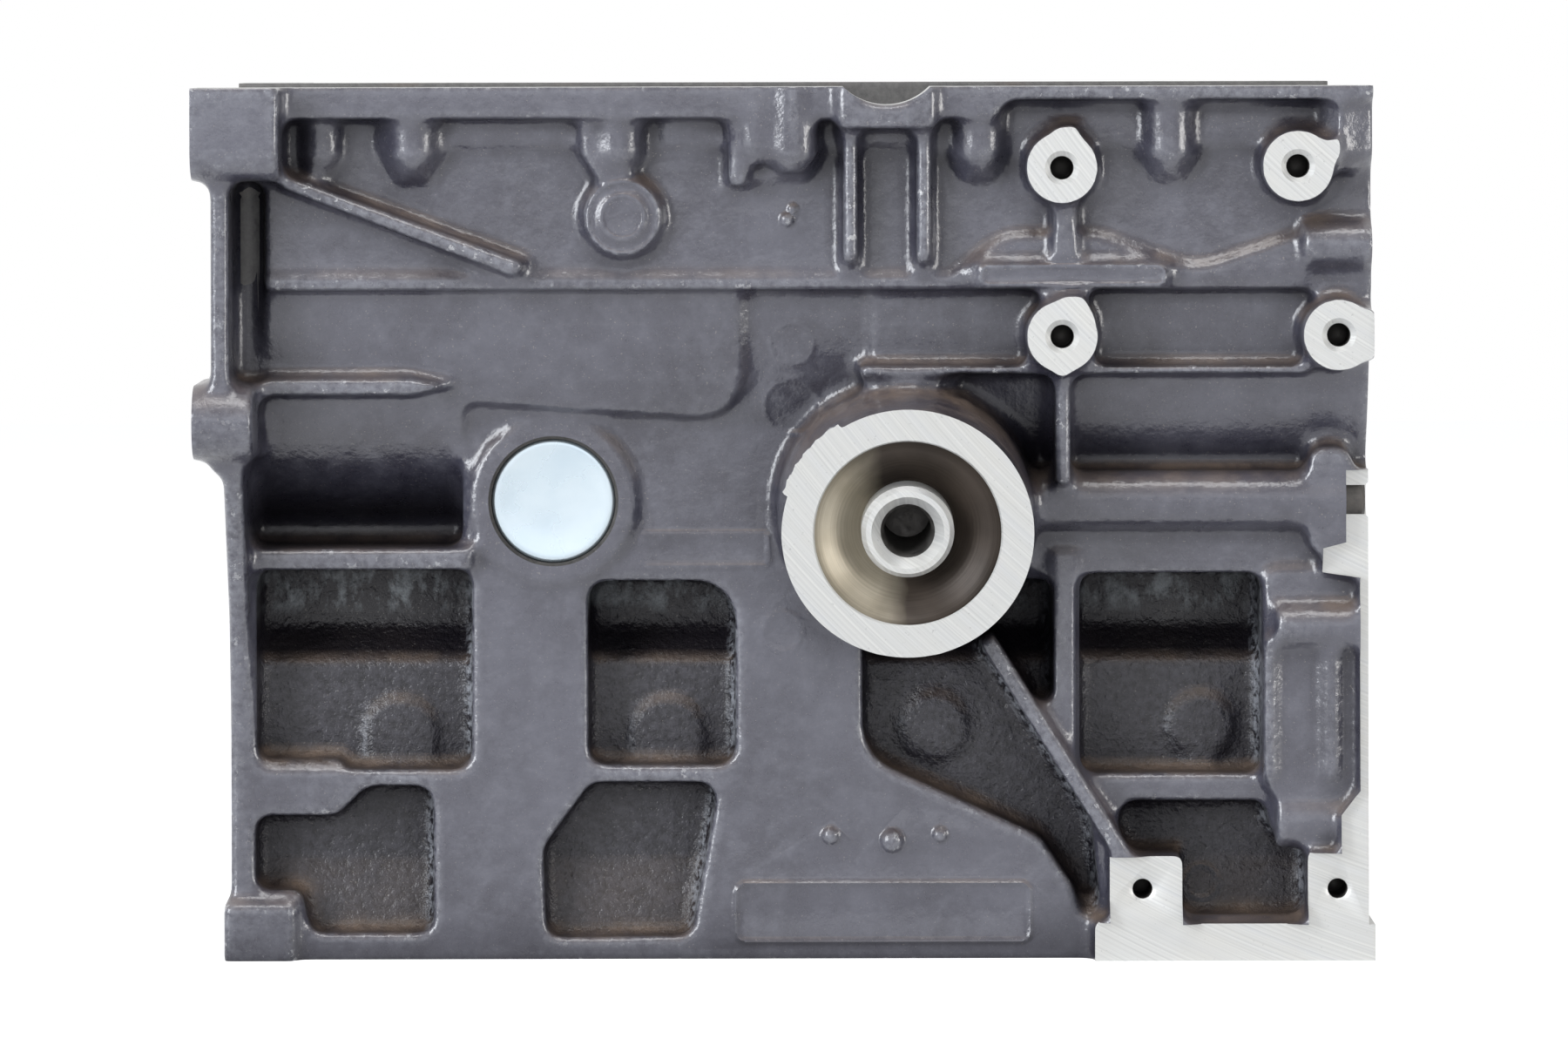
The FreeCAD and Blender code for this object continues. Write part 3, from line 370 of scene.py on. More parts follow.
def add_cast_marks(field):
    """Low marks that a foundry pattern leaves: rings, pins, bare frames and a rough lip."""
    for x, z, radius, wall, height in CAST_RINGS:
        def ring(px, pz):
            return height * line(np.hypot(px - x, pz - z) - radius)
        emboss_on_wall(field, x - radius, x + radius, z - radius, z + radius, wall, ring)
    for x, z, radius, wall in CAST_PINS:
        def pin(px, py, pz):
            return np.hypot(np.hypot(px - x, pz - z), py + wall) - radius
        field.add((x - 6, -wall - 6, z - 6), (x + 6, -wall + 4, z + 6), pin)
    for left, right, low, high, corner, wall, height in CAST_FRAMES:
        def bare_frame(px, pz):
            across = np.abs(px - (left + right) / 2) - (right - left) / 2 + corner
            up = np.abs(pz - (low + high) / 2) - (high - low) / 2 + corner
            rounded = np.hypot(np.maximum(across, 0), np.maximum(up, 0)) - corner
            return height * line(rounded + np.minimum(np.maximum(across, up), 0))
        emboss_on_wall(field, left, right, low, high, wall, bare_frame)
    add_filter_lip(field)


def cast_skin():
    """The casting's distance field before machining: every edge rounded, every corner filleted."""
    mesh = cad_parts["cylinder_block"].data
    mesh.calc_loop_triangles()
    triangles = read_array(mesh.loop_triangles, "vertices", 3, np.int32)
    field = Field(read_array(mesh.vertices, "co", 3), triangles)
    fill_machining(field)
    add_filter_stock(field)
    add_stock(field)
    field.offset(CAST_FILLET)
    field.offset(-CAST_FILLET)
    field.values = blurred(field.values, CAST_BLUR)
    add_cast_marks(field)
    return field


def skin_mesh(field, name):
    """A mesh of the field's skin."""
    points, _, quads = field.grid().convertToPolygons(0.0, 0.0)
    mesh = bpy.data.meshes.new(name)
    mesh.vertices.add(len(points))
    mesh.vertices.foreach_set("co", points.ravel())
    mesh.loops.add(quads.size)
    mesh.loops.foreach_set("vertex_index", quads[:, ::-1].astype(np.int32).ravel())
    mesh.polygons.add(len(quads))
    mesh.polygons.foreach_set("loop_start", np.arange(len(quads), dtype=np.int32) * 4)
    mesh.update(calc_edges=True)
    return mesh


# ---- cutters -------------------------------------------------------------------------------------

# slots of the block's mesh, in the order of LOOKS
PAINT, MILLED, BORED, THREAD, DISH, RAW = range(6)

# how far a cutter stands out of the face it enters and of the block, and the gap between two cutters
LEAD = 6
OVERSHOOT = 5
CUTTER_GAP = 0.01
FACING_DEPTH = 9
OUTSIDE = 200

# a drill's point by its radius, a thread's depth by its pitch, and the turns cut before the plain hole
DRILL_POINT = 0.58
THREAD_DEPTH = 0.55
THREAD_TURNS = 7

# radius and depth, from the flange's face inwards
FILTER_FACING = [(0, -12), (46, -12), (46, 0), (0, 0)]
FILTER_PROFILE = [
    (0, -LEAD), (28.6, -LEAD), (28.6, 0), (28.1, 0.6), (27.2, 2.2), (24.6, 3.8), (21.6, 5.8), (18.2, 8.4),
    (15, 11), (14, 11.4), (14, 3.2), (12.6, 1.6), (11, 1.4), (8.2, 4.6), (7.2, 6), (7.2, 30), (0, 33),
]
FILTER_LOOKS = [MILLED] * 3 + [DISH] * 6 + [MILLED] * 4 + [THREAD] * 3

SKIN_TRIANGLES = 145_000
SHARP_ANGLE, PLUG_SHARP_ANGLE = math.radians(38), math.radians(40)
EDGE_REACH, HOLLOW_REACH = 2.5, 9


def turned(profile, origin, inwards, looks, segments=56):
    """A closed solid turned from (radius, depth) points about an axis that runs into the iron.

    The first and last points are on the axis. Each stretch has its own look.
    """
    inwards = Vector(inwards).normalized()
    side = inwards.orthogonal().normalized()
    other = inwards.cross(side)
    points = [Vector(origin) + inwards * profile[0][1]]
    rings = []
    for radius, depth in profile[1:-1]:
        rings.append(len(points))
        for k in range(segments):
            turn = 2 * math.pi * k / segments
            spoke = side * math.cos(turn) + other * math.sin(turn)
            points.append(Vector(origin) + inwards * depth + spoke * radius)
    points.append(Vector(origin) + inwards * profile[-1][1])
    faces, kinds = [], []
    for k in range(segments):
        n = (k + 1) % segments
        faces.append((0, rings[0] + n, rings[0] + k))
        kinds.append(looks[0])
        for i, (first, second) in enumerate(zip(rings, rings[1:]), start=1):
            faces.append((first + k, first + n, second + n, second + k))
            kinds.append(looks[i])
        faces.append((len(points) - 1, rings[-1] + k, rings[-1] + n))
        kinds.append(looks[-1])
    return points, faces, kinds


def turned_at(places, inwards, section, segments=56):
    """The same turned solid at several places; a section is a profile and its looks."""
    profile, looks = section
    return [turned(profile, place, inwards, looks, segments) for place in places]


def drilled(radius, depth, chamfer=0.8, look=BORED, mouth=MILLED):
    """Section of a drilled hole with a chamfered mouth and a drill point."""
    profile = [
        (0, -LEAD), (radius + chamfer, -LEAD), (radius + chamfer, 0), (radius, chamfer), (radius, depth),
        (0, depth + radius * DRILL_POINT),
    ]
    return profile, [MILLED, MILLED, mouth, look, THREAD]


def tapped(radius, depth, pitch=1.25, chamfer=0.9):
    """Section of a threaded hole: the first turns of its thread, then plain to the drill point."""
    root = radius - pitch * THREAD_DEPTH
    at = chamfer * 1.6
    profile = [(0, -LEAD), (radius + chamfer, -LEAD), (radius + chamfer, 0), (root, at)]
    looks = [MILLED] * 3
    while at < min(depth, pitch * THREAD_TURNS):
        profile += [(radius, at + pitch / 2), (root, at + pitch)]
        looks += [THREAD] * 2
        at += pitch
    profile += [(root, depth), (0, depth + root * DRILL_POINT)]
    return profile, looks + [THREAD] * 2


def plain_bore(radius, depth, look, lead=LEAD):
    """Section of a straight bore with a flat end."""
    return [(0, -lead), (radius, -lead), (radius, depth), (0, depth)], [look] * 3


def box(low, high):
    """A milled box as points, faces and looks."""
    across, deep, up = zip(low, high)
    points = [Vector((x, y, z)) for x in across for y in deep for z in up]
    faces = [(0, 1, 3, 2), (4, 6, 7, 5), (0, 4, 5, 1), (2, 3, 7, 6), (0, 2, 6, 4), (1, 5, 7, 3)]
    return points, faces, [MILLED] * 6


def prism(outline, low, high):
    """A milled prism along Y on an (x, z) outline that turns counter-clockwise seen from the filter side."""
    count = len(outline)
    points = [Vector((x, y, z)) for y in (low, high) for x, z in outline]
    faces = [tuple(range(count)), tuple(range(2 * count - 1, count - 1, -1))]
    for k in range(count):
        n = (k + 1) % count
        faces.append((n, k, count + k, count + n))
    return points, faces, [MILLED] * len(faces)


def add_object(name, mesh):
    """Puts a mesh into the scene."""
    obj = bpy.data.objects.new(name, mesh)
    bpy.context.scene.collection.objects.link(obj)
    return obj


def joined(name, solids):
    """One object from solids that don't touch each other, scaled to metres."""
    points, faces, kinds = [], [], []
    for some_points, some_faces, some_kinds in solids:
        start = len(points)
        points += [p * MM for p in some_points]
        faces += [tuple(i + start for i in face) for face in some_faces]
        kinds += some_kinds
    mesh = bpy.data.meshes.new(name)
    mesh.from_pydata(points, [], faces)
    mesh.polygons.foreach_set("material_index", kinds)
    for material in LOOKS:
        mesh.materials.append(material)
    mesh.update()
    bm = bmesh.new()
    bm.from_mesh(mesh)
    bmesh.ops.recalc_face_normals(bm, faces=bm.faces)
    bm.to_mesh(mesh)
    bm.free()
    return add_object(name, mesh)


def bake_modifier(obj, kind, **settings):
    """Adds a modifier and replaces the object's mesh with its result."""
    modifier = obj.modifiers.new(kind.lower(), kind)
    for key, value in settings.items():
        setattr(modifier, key, value)
    graph = bpy.context.evaluated_depsgraph_get()
    made = bpy.data.meshes.new_from_object(obj.evaluated_get(graph))
    obj.modifiers.clear()
    old = obj.data
    obj.data = made
    bpy.data.meshes.remove(old)


def machine(obj, name, solids, operation="DIFFERENCE"):
    """Cuts or trims the object with solids, and removes the cutter."""
    cutter = joined(name, solids)
    bake_modifier(obj, "BOOLEAN", operation=operation, object=cutter, solver="MANIFOLD")
    bpy.data.meshes.remove(cutter.data)


def mill_faces(obj):
    """Trims the casting to its milled faces."""
    whole = box((REAR_FACE, -OUTSIDE, 0), (TIMING_FOOT, OUTSIDE, PAN))
    machine(obj, "faced_box", [whole], "INTERSECT")
    beyond, top = TIMING + 8, PAN + OVERSHOOT
    cuts = [
        box((TIMING, FOOT_SIDE, -OVERSHOOT), (beyond, OUTSIDE, top)),
        box((TIMING, -OUTSIDE, FOOT_TOP), (beyond, FOOT_SIDE, top)),
        box((-250, -76, CRANK), (TIMING - CUTTER_GAP, 76, top)),
    ]
    for x, z in ACCESSORY:
        right = min(x + 15, TIMING - CUTTER_GAP)
        cuts.append(box((x - 15, BOSS_FACE - FACING_DEPTH, z - 17), (right, BOSS_FACE, z + 17)))
    for x, z in FAR_BOSSES:
        cuts.append(box((x - 14, FAR_BOSS_FACE, z - 14), (x + 14, FAR_BOSS_FACE + FACING_DEPTH, z + 14)))
    machine(obj, "faces", cuts)
    machine(obj, "bracket_pad_face", [prism(PAD_OUTLINE, PAD_FACE - FACING_DEPTH, PAD_FACE)])


def bore_cylinders(obj):
    """The four bores and the line bore of the crank."""
    profile = [(0, -LEAD), (BORE_R + 1, -LEAD), (BORE_R + 1, 0), (BORE_R, 1.6), (BORE_R, 142), (0, 142)]
    section = profile, [MILLED] * 3 + [BORED] * 2
    machine(obj, "cylinder_bores", turned_at([(x, 0, 0) for x in CYLINDERS], Z, section, 128))
    line_bore = turned_at([(REAR_FACE, 0, CRANK)], X, plain_bore(MAIN_R, 360, BORED), 96)
    machine(obj, "line_bore", line_bore)


def drill_holes(obj):
    """Every drilled and tapped hole for a screw or for coolant."""
    holes = []
    for x in BULKHEADS:
        holes += turned_at([(x, y, 0) for y in HEAD_BOLTS_Y], Z, drilled(4.5, 70))
        holes += turned_at([(x, y, CRANK) for y in CAP_BOLTS_Y], -Z, drilled(5, 31), 40)
    holes += turned_at([(x, y, 0) for x in CYLINDERS for y in COOLANT_Y], Z, drilled(3, 14, 0.3, THREAD))
    holes += turned_at([(x, BOSS_FACE, z) for x, z in ACCESSORY], Y, tapped(4.25, 16), 30)
    holes += turned_at([(x, PAD_FACE, z) for x, z in LOW_SCREWS], Y, tapped(3.75, 19, 1.25, 0.6), 30)
    pan_thread = tapped(2.6, 15, 1, 0.5)
    holes += turned_at([(x, PAN_FRONT_Y, PAN) for x in PAN_FRONT], -Z, pan_thread, 24)
    holes += turned_at([(x, PAN_FAR_Y, PAN) for x in PAN_FAR], -Z, pan_thread, 24)
    holes += turned_at([(x, FAR_BOSS_FACE, z) for x, z in FAR_BOSSES], -Y, tapped(4.25, 20), 30)
    holes += turned_at([(REAR_FACE, y, z) for y, z in BELL_BOLTS], X, drilled(5.4, 15))
    holes += turned_at([(TIMING, y, z) for y, z in COVER_BOLTS], -X, tapped(2.6, 11, 1, 0.5), 24)
    machine(obj, "holes", holes)


def bore_seats(obj):
    """Bores of the plugs, the seal seat, the notch in the pan rail and the filter's seat."""
    front_place = (FRONT_PLUG[0], FRONT_PLUG_FACE, FRONT_PLUG[1])
    bores = turned_at([front_place], Y, drilled(PLUG_R, 20, 0.9, THREAD, THREAD), 96)
    far_places = [(x, FAR_PLUG_FACE, FAR_PLUG_Z) for x in FAR_PLUGS]
    bores += turned_at(far_places, -Y, drilled(FAR_PLUG_R, 14, 1.2), 80)
    bores += turned_at([(REAR_WALL, *REAR_PLUG)], X, drilled(PLUG_R, 8.5, 0.5), 80)
    bores += turned_at([(TIMING, *GALLERY)], -X, drilled(6, 60), 48)
    machine(obj, "plug_bores", bores)
    deep = REAR_WALL - FLANGE_FACE
    seat = [(0, -4), (SEAL_R + 0.6, -4), (SEAL_R + 0.6, 0), (SEAL_R, 0.8), (SEAL_R, deep), (0, deep)]
    seats = turned_at([(FLANGE_FACE, 0, CRANK)], X, (seat, [MILLED] * 5), 96)
    seats += turned_at([NOTCH_AXIS], Y, plain_bore(NOTCH_R, NOTCH_DEPTH, MILLED, 0), 96)
    machine(obj, "seats", seats)
    facing = turned(FILTER_FACING, FILTER_CENTRE, -FILTER_OUT, [MILLED] * 3, 96)
    machine(obj, "filter_face", [facing])
    recess = turned(FILTER_PROFILE, FILTER_CENTRE, -FILTER_OUT, FILTER_LOOKS, 128)
    machine(obj, "filter_recess", [recess])


# ---- the block's mesh ----------------------------------------------------------------------------

def sample(values, low, step, points):
    """Reads a coarse grid between its cells at points in metres."""
    at = (points / VOXEL - low) / step
    base = np.clip(np.floor(at).astype(int), 0, np.array(values.shape) - 2)
    share = np.clip(at - base, 0, 1)
    total = np.zeros(len(points))
    for corner in np.ndindex(2, 2, 2):
        weight = np.prod(np.where(corner, share, 1 - share), axis=1)
        i, j, k = (base + corner).T
        total += weight * values[i, j, k]
    return total


def fill_crankcase(field):
    """Fills the crankcase, so that a slim wall doesn't count as an edge."""
    slices, (_, y, z) = field.window((-170, -84, 128), (168, 84, PAN + 3))
    in_barrel = np.hypot(y, z - CRANK) < CASE_R + 0.5
    in_mouth = (z > CRANK) & (np.abs(y) < CASE_R + 0.5)
    part = field.values[slices]
    part[np.broadcast_to(in_barrel | in_mouth, part.shape)] = -BAND * VOXEL


def store_relief(obj, field):
    """Stores how sharp an edge and how deep a hollow each vertex is on: the field's mean about it, in mm.

    The mean is above 0 at an outer edge and below 0 in a hollow.
    """
    points = read_array(obj.data.vertices, "co", 3)
    fill_crankcase(field)
    for name, step, reach in (("edge", 2, EDGE_REACH), ("hollow", 4, HOLLOW_REACH)):
        coarse = np.ascontiguousarray(field.values[::step, ::step, ::step])
        values = sample(blurred(coarse, reach * MM / step), field.low, step, points) / MM
        layer = obj.data.attributes.new(name, "FLOAT", "POINT")
        layer.data.foreach_set("value", values.astype(np.float32))


def finish_shading(obj):
    """Raw iron in the crankcase, a bare seal seat, smooth skin and sharp machined edges."""
    mesh = obj.data
    x, y, z = read_array(mesh.polygons, "center", 3).T / MM
    across, out_y, out_z = read_array(mesh.polygons, "normal", 3).T
    kinds = read_array(mesh.polygons, "material_index", 1, np.int32)[:, 0]
    painted = kinds == PAINT
    from_crank = np.hypot(y, z - CRANK)
    in_barrel = (from_crank < CASE_R + 1.5) & (z > CASE_FLOOR)
    in_mouth = (z > CRANK - 1) & (np.abs(y) < CASE_R + 5)
    outwards = (out_y * y + out_z * (z - CRANK)) / np.maximum(from_crank, 1)
    looks_in = (outwards < -0.3) | (np.abs(y) < CASE_WALL_INSIDE)
    in_side_slot = (x < SIDE_SLOT[0]) & (y < SIDE_SLOT[1])
    kinds[painted & (in_barrel & looks_in & ~in_side_slot | in_mouth)] = RAW
    kinds[(kinds == PAINT) & (np.abs(x - FLANGE_FACE) < 0.5) & (across < -0.97)] = MILLED
    mesh.polygons.foreach_set("material_index", np.ascontiguousarray(kinds))
    mesh.polygons.foreach_set("use_smooth", np.ones(len(mesh.polygons), bool))
    mesh.set_sharp_from_angle(angle=SHARP_ANGLE)
    mesh.update()


def make_block():
    """The whole block as one mesh: cast, decimated, machined and shaded."""
    field = cast_skin()
    mesh = skin_mesh(field, "block_casting")
    obj = add_object("block_casting", mesh)
    for material in LOOKS:
        mesh.materials.append(material)
    bake_modifier(obj, "DECIMATE", ratio=SKIN_TRIANGLES / (2 * len(mesh.polygons)))
    mill_faces(obj)
    bore_cylinders(obj)
    drill_holes(obj)
    bore_seats(obj)
    store_relief(obj, field)
    finish_shading(obj)
    return obj


# ---- materials -----------------------------------------------------------------------------------

PAINT_DARK, PAINT_LIGHT, PAINT_PALE = (0.038, 0.037, 0.055), (0.072, 0.072, 0.097), (0.120, 0.121, 0.150)
# the second colour on the next line is a near-black painted shade, for roofs, creases and sheltered corners
EDGE_WEAR_AND_HIGHLIGHT, PAINTED_SHADE = (0.20, 0.205, 0.235), (0.008, 0.007, 0.010)
# bare metal at chips; then the pale colour of painted reflection streaks in the pockets, and a painted
# highlight for pocket walls that face left
CHIPPED, PAINTED_REFLECTION, FLANK_HIGHLIGHT = (0.55, 0.55, 0.56), (0.34, 0.37, 0.39), (0.42, 0.44, 0.48)
# pockets are painted darker than the faces round them, as shade in the recesses, with the sand's grain
POCKET_DARK, POCKET_LIGHT = (0.012, 0.011, 0.015), (0.046, 0.044, 0.054)
# brown for faces that look up: part dust, part painted reflection of a warm surrounding; then pale specks of
# dust
BROWN_DUST_AND_REFLECTION, DUST_PALE = (0.200, 0.145, 0.108), (0.34, 0.31, 0.28)
OIL_DARK, OIL_LIGHT, OIL_RING = (0.018, 0.013, 0.010), (0.050, 0.038, 0.030), (0.08, 0.066, 0.052)
# the pale tan of a painted reflection on one side of the filter's dish
DISH_REFLECTION_DARK, DISH_REFLECTION_LIGHT = (0.24, 0.21, 0.155), (0.40, 0.36, 0.285)
MILLED_DARK, MILLED_PALE = (0.48, 0.48, 0.47), (0.64, 0.64, 0.62)
MILLED_COOL, MILLED_WARM, PORE = (0.50, 0.52, 0.56), (0.58, 0.55, 0.49), (0.25, 0.25, 0.25)
BORED_DARK, BORED_PALE = (0.30, 0.30, 0.295), (0.50, 0.50, 0.49)
THREAD_DARK, THREAD_PALE = (0.035, 0.032, 0.03), (0.10, 0.095, 0.09)
RAW_DARK, RAW_PALE, RUST = (0.085, 0.083, 0.082), (0.17, 0.165, 0.16), (0.16, 0.09, 0.05)
ZINC_COOL, ZINC_PALE, ZINC_MARK = (0.47, 0.56, 0.62), (0.58, 0.65, 0.69), (0.45, 0.52, 0.56)
CAP_DARK, CAP_PALE, CAP_STAIN = (0.25, 0.25, 0.245), (0.38, 0.38, 0.37), (0.17, 0.15, 0.13)
BOLT_DARK, BOLT_PALE = (0.045, 0.043, 0.042), (0.095, 0.088, 0.082)

# where the masks of the paint begin and end, in metres: behind the side's wall and below its band lies a
# pocket; the pockets' roofs get painted shade, and a band under the upper ones gets streaks of painted
# reflection
POCKET_BACK, POCKET_TOP = (-0.0712, -0.0690), (0.128, 0.122)
ROOF, REFLECTION_LOW, REFLECTION_HIGH = (0.0900, 0.0935), (0.1035, 0.108), (0.1195, 0.116)
SHELTER_REACH = 0.028

# the middle of the milling cutter's arcs, and the way from the filter's axis to the side of the dish that
# carries a painted reflection
CUTTER_CENTRE = (0.31, 0.05, 0.42)
DISH_REFLECTION_WAY = (-0.985, 0.0, -0.174)


class Looks:
    """Builds one procedural material: a Principled shader and the nodes that feed it."""

    def __init__(self, name):
        self.material = bpy.data.materials.new(name)
        self.material.use_nodes = True
        self.tree = self.material.node_tree
        self.shader = self.tree.nodes["Principled BSDF"]
        self.place = self.node("TexCoord").outputs["Object"]

    def node(self, kind, **settings):
        made = self.tree.nodes.new("ShaderNode" + kind)
        for key, value in settings.items():
            setattr(made, key, value)
        return made

    def feed(self, socket, value):
        """Sets a socket from a number, a colour or another node's output."""
        if isinstance(value, bpy.types.NodeSocket):
            self.tree.links.new(value, socket)
        elif isinstance(value, tuple) and len(value) == 3 and socket.type == "RGBA":
            socket.default_value = (*value, 1)
        else:
            socket.default_value = value

    def fed(self, kind, inputs, **settings):
        """The outputs of a new node whose inputs are fed, by their name or number."""
        made = self.node(kind, **settings)
        for key, value in inputs.items():
            self.feed(made.inputs[key], value)
        return made.outputs

    def set(self, **inputs):
        for name, value in inputs.items():
            self.feed(self.shader.inputs[name.replace("_", " ")], value)

    def noise(self, scale, detail=2.0, place=None, roughness=0.5):
        place = place or self.place
        inputs = {"Vector": place, "Scale": scale, "Detail": detail, "Roughness": roughness}
        return self.fed("TexNoise", inputs)[0]

    def streaks(self, across, along=0.0, deep=0.0, detail=2, roughness=0.5):
        """Noise over coordinates that are stretched already: lines where one is stretched most."""
        return self.noise(1.0, detail, self.fed("CombineXYZ", {0: across, 1: along, 2: deep})[0], roughness)

    def math(self, operation, first, second=0.0):
        return self.fed("Math", {0: first, 1: second}, operation=operation)[0]

    def times(self, first, second):
        return self.math("MULTIPLY", first, second)

    def plus(self, first, second):
        return self.math("ADD", first, second)

    def span(self, value, low, high, start=0.0, end=1.0):
        """Maps a value between low and high to start..end, and holds it there beyond them."""
        return self.fed("MapRange", {0: value, 1: low, 2: high, 3: start, 4: end})[0]

    def mix(self, share, first, second):
        return self.fed("Mix", {0: share, 6: first, 7: second}, data_type="RGBA")[2]

    def over(self, colour, mask, share, tint):
        """Lays a tint over a colour where a mask is 1, up to a share."""
        return self.mix(self.times(mask, share), colour, tint)

    def attribute(self, name):
        return self.node("Attribute", attribute_name=name).outputs["Fac"]

    def apart(self, vector):
        return self.fed("SeparateXYZ", {0: vector})

    def distance(self, place, centre):
        return self.fed("VectorMath", {0: place, 1: centre}, operation="DISTANCE")["Value"]

    def towards(self, place, centre, way):
        """Cosine of the angle between a way and the line from a centre to the place."""
        away = self.fed("VectorMath", {0: place, 1: centre}, operation="SUBTRACT")[0]
        unit = self.fed("VectorMath", {0: away}, operation="NORMALIZE")[0]
        return self.fed("VectorMath", {0: unit, 1: way}, operation="DOT_PRODUCT")["Value"]

    def bump(self, height, coat=False):
        """Surface relief from a height in millimetres, also under the coat where that is asked for."""
        normal = self.fed("Bump", {"Strength": 1.0, "Distance": MM, "Height": height})[0]
        self.set(Normal=normal)
        if coat:
            self.set(Coat_Normal=normal)

    def facing(self):
        """The surface's direction as three numbers from -1 to 1."""
        return self.apart(self.node("NewGeometry").outputs["True Normal"])


def cast_paint():
    """Glossy blue-black paint on sand-cast iron, grainy in the pockets; shade, highlights and reflections
    are painted in, and the brown on up-facing faces is part dust, part painted reflection.
    """
    look = Looks("cast_paint")
    x, y, z = look.apart(look.place)
    across, _, up = look.facing()
    edge, hollow = look.attribute("edge"), look.attribute("hollow")
    # the occlusion found here darkens the colour further down, as painted shade
    shelter = look.fed("AmbientOcclusion", {"Distance": SHELTER_REACH}, samples=6)["AO"]
    open_air = look.span(shelter, 0.15, 0.85)
    crease = look.span(edge, -0.25, -1.3)
    pocket = look.times(look.span(y, *POCKET_BACK), look.span(z, *POCKET_TOP))
    roof = look.times(pocket, look.span(z, *ROOF))
    cloud = look.noise(20, 5, roughness=0.65)
    mottle = look.noise(120, 4, roughness=0.7)
    grain = look.noise(1100, 3, roughness=0.6)
    sand = look.noise(420, 3, roughness=0.65)

    colour = look.mix(look.span(cloud, 0.38, 0.62), PAINT_DARK, PAINT_LIGHT)
    colour = look.over(colour, look.span(mottle, 0.45, 0.72), 0.55, PAINT_PALE)
    # the pockets are painted darker than the faces round them: painted shade in the recesses, grained with
    # sand
    colour = look.mix(pocket, colour, look.mix(look.span(sand, 0.35, 0.65), POCKET_DARK, POCKET_LIGHT))
    # painted shade: the upper part of the pockets' back walls is darkened almost to black
    colour = look.over(colour, roof, 0.95, PAINTED_SHADE)

    # painted reflection: pale streaks in a band just under the upper pockets' roofs, as of the bright floor
    # mirrored in the paint
    streak_noise = look.streaks(look.times(x, 110), y, look.times(z, 70), 5, 0.7)
    band = look.times(look.span(z, *REFLECTION_LOW), look.span(z, *REFLECTION_HIGH))
    reflection_streak = look.times(look.times(look.span(streak_noise, 0.47, 0.62), band), pocket)
    colour = look.over(colour, reflection_streak, 0.85, PAINTED_REFLECTION)
    # lighter outer edges: partly worn paint, partly a painted highlight along the rounded edges
    wear_and_highlight = look.times(look.span(edge, 0.25, 1.1), look.span(sand, 0.35, 0.62))
    colour = look.over(colour, wear_and_highlight, 0.7, EDGE_WEAR_AND_HIGHLIGHT)
    # painted shade along the creases at the foot of walls, ribs and bosses
    colour = look.over(colour, crease, 0.8, PAINTED_SHADE)
    # painted highlight on the pocket walls that face left, broken up by the sand grain
    flank = look.times(look.span(across, -0.30, -0.75), pocket)
    colour = look.over(colour, look.times(flank, look.span(sand, 0.42, 0.58)), 0.7, FLANK_HIGHLIGHT)

    # brown on faces that look up, most in hollows: partly settled dust, partly a painted reflection of a
    # warm surrounding above
    patches = look.span(look.noise(60, 4, roughness=0.65), 0.36, 0.60, 0.3, 1)
    facing_up_in_hollows = look.times(look.span(up, 0.12, 0.75), look.span(hollow, 1.2, -0.9, 0.45, 1))
    dust_and_reflection = look.times(look.times(facing_up_in_hollows, patches), look.span(roof, 0, 1, 1, 0.05))
    colour = look.over(colour, dust_and_reflection, 0.95, BROWN_DUST_AND_REFLECTION)
    colour = look.over(colour, look.span(look.noise(1500, 1), 0.68, 0.76), 0.35, DUST_PALE)
    # painted shade: sheltered places, as the occlusion finds them, go to near black
    colour = look.mix(open_air, PAINTED_SHADE, colour)
    chip_noise = look.noise(260, 4, roughness=0.75)
    chips = look.times(look.span(edge, 0.5, 1.3), look.span(chip_noise, 0.60, 0.64))
    colour = look.over(colour, chips, 0.7, CHIPPED)

    rough = look.plus(look.span(mottle, 0.3, 0.7, 0.24, 0.38), look.times(dust_and_reflection, 0.3))
    rough = look.plus(rough, look.times(pocket, 0.04))
    sheen = look.times(open_air, look.span(crease, 0, 1, 1, 0.35))
    sheen = look.times(sheen, look.span(pocket, 0, 1, 1, 0.45))
    look.set(Base_Color=colour, Roughness=rough, Specular_IOR_Level=look.span(sheen, 0, 1, 0.10, 0.5),
             Coat_Roughness=0.13, Coat_IOR=1.6, Coat_Weight=look.times(sheen, 0.65))

    peel = look.times(look.noise(150, 2), 0.40)
    fine = look.times(grain, look.span(pocket, 0, 1, 0.05, 0.12))
    coarse = look.times(sand, look.span(pocket, 0, 1, 0.16, 0.75))
    look.bump(look.plus(look.plus(peel, fine), coarse), coat=True)
    return look.material


def milled_iron():
    """Bare face-milled iron: pale, with the fine arcs of a large cutter."""
    look = Looks("milled_iron")
    sweep = look.distance(look.place, CUTTER_CENTRE)
    arcs = look.streaks(look.times(sweep, 1500))
    broad = look.streaks(look.times(sweep, 260))
    cloud = look.noise(45, 3)
    pores = look.span(look.noise(1100, 1), 0.70, 0.80)
    colour = look.mix(look.span(arcs, 0.3, 0.7), MILLED_DARK, MILLED_PALE)
    colour = look.over(colour, look.span(broad, 0.45, 0.75), 0.3, MILLED_COOL)
    colour = look.over(colour, look.span(cloud, 0.5, 0.8), 0.25, MILLED_WARM)
    colour = look.over(colour, pores, 0.45, PORE)
    look.set(Base_Color=colour, Metallic=0.45, Roughness=look.span(arcs, 0.3, 0.7, 0.36, 0.50))
    look.bump(look.times(arcs, 0.02))
    return look.material


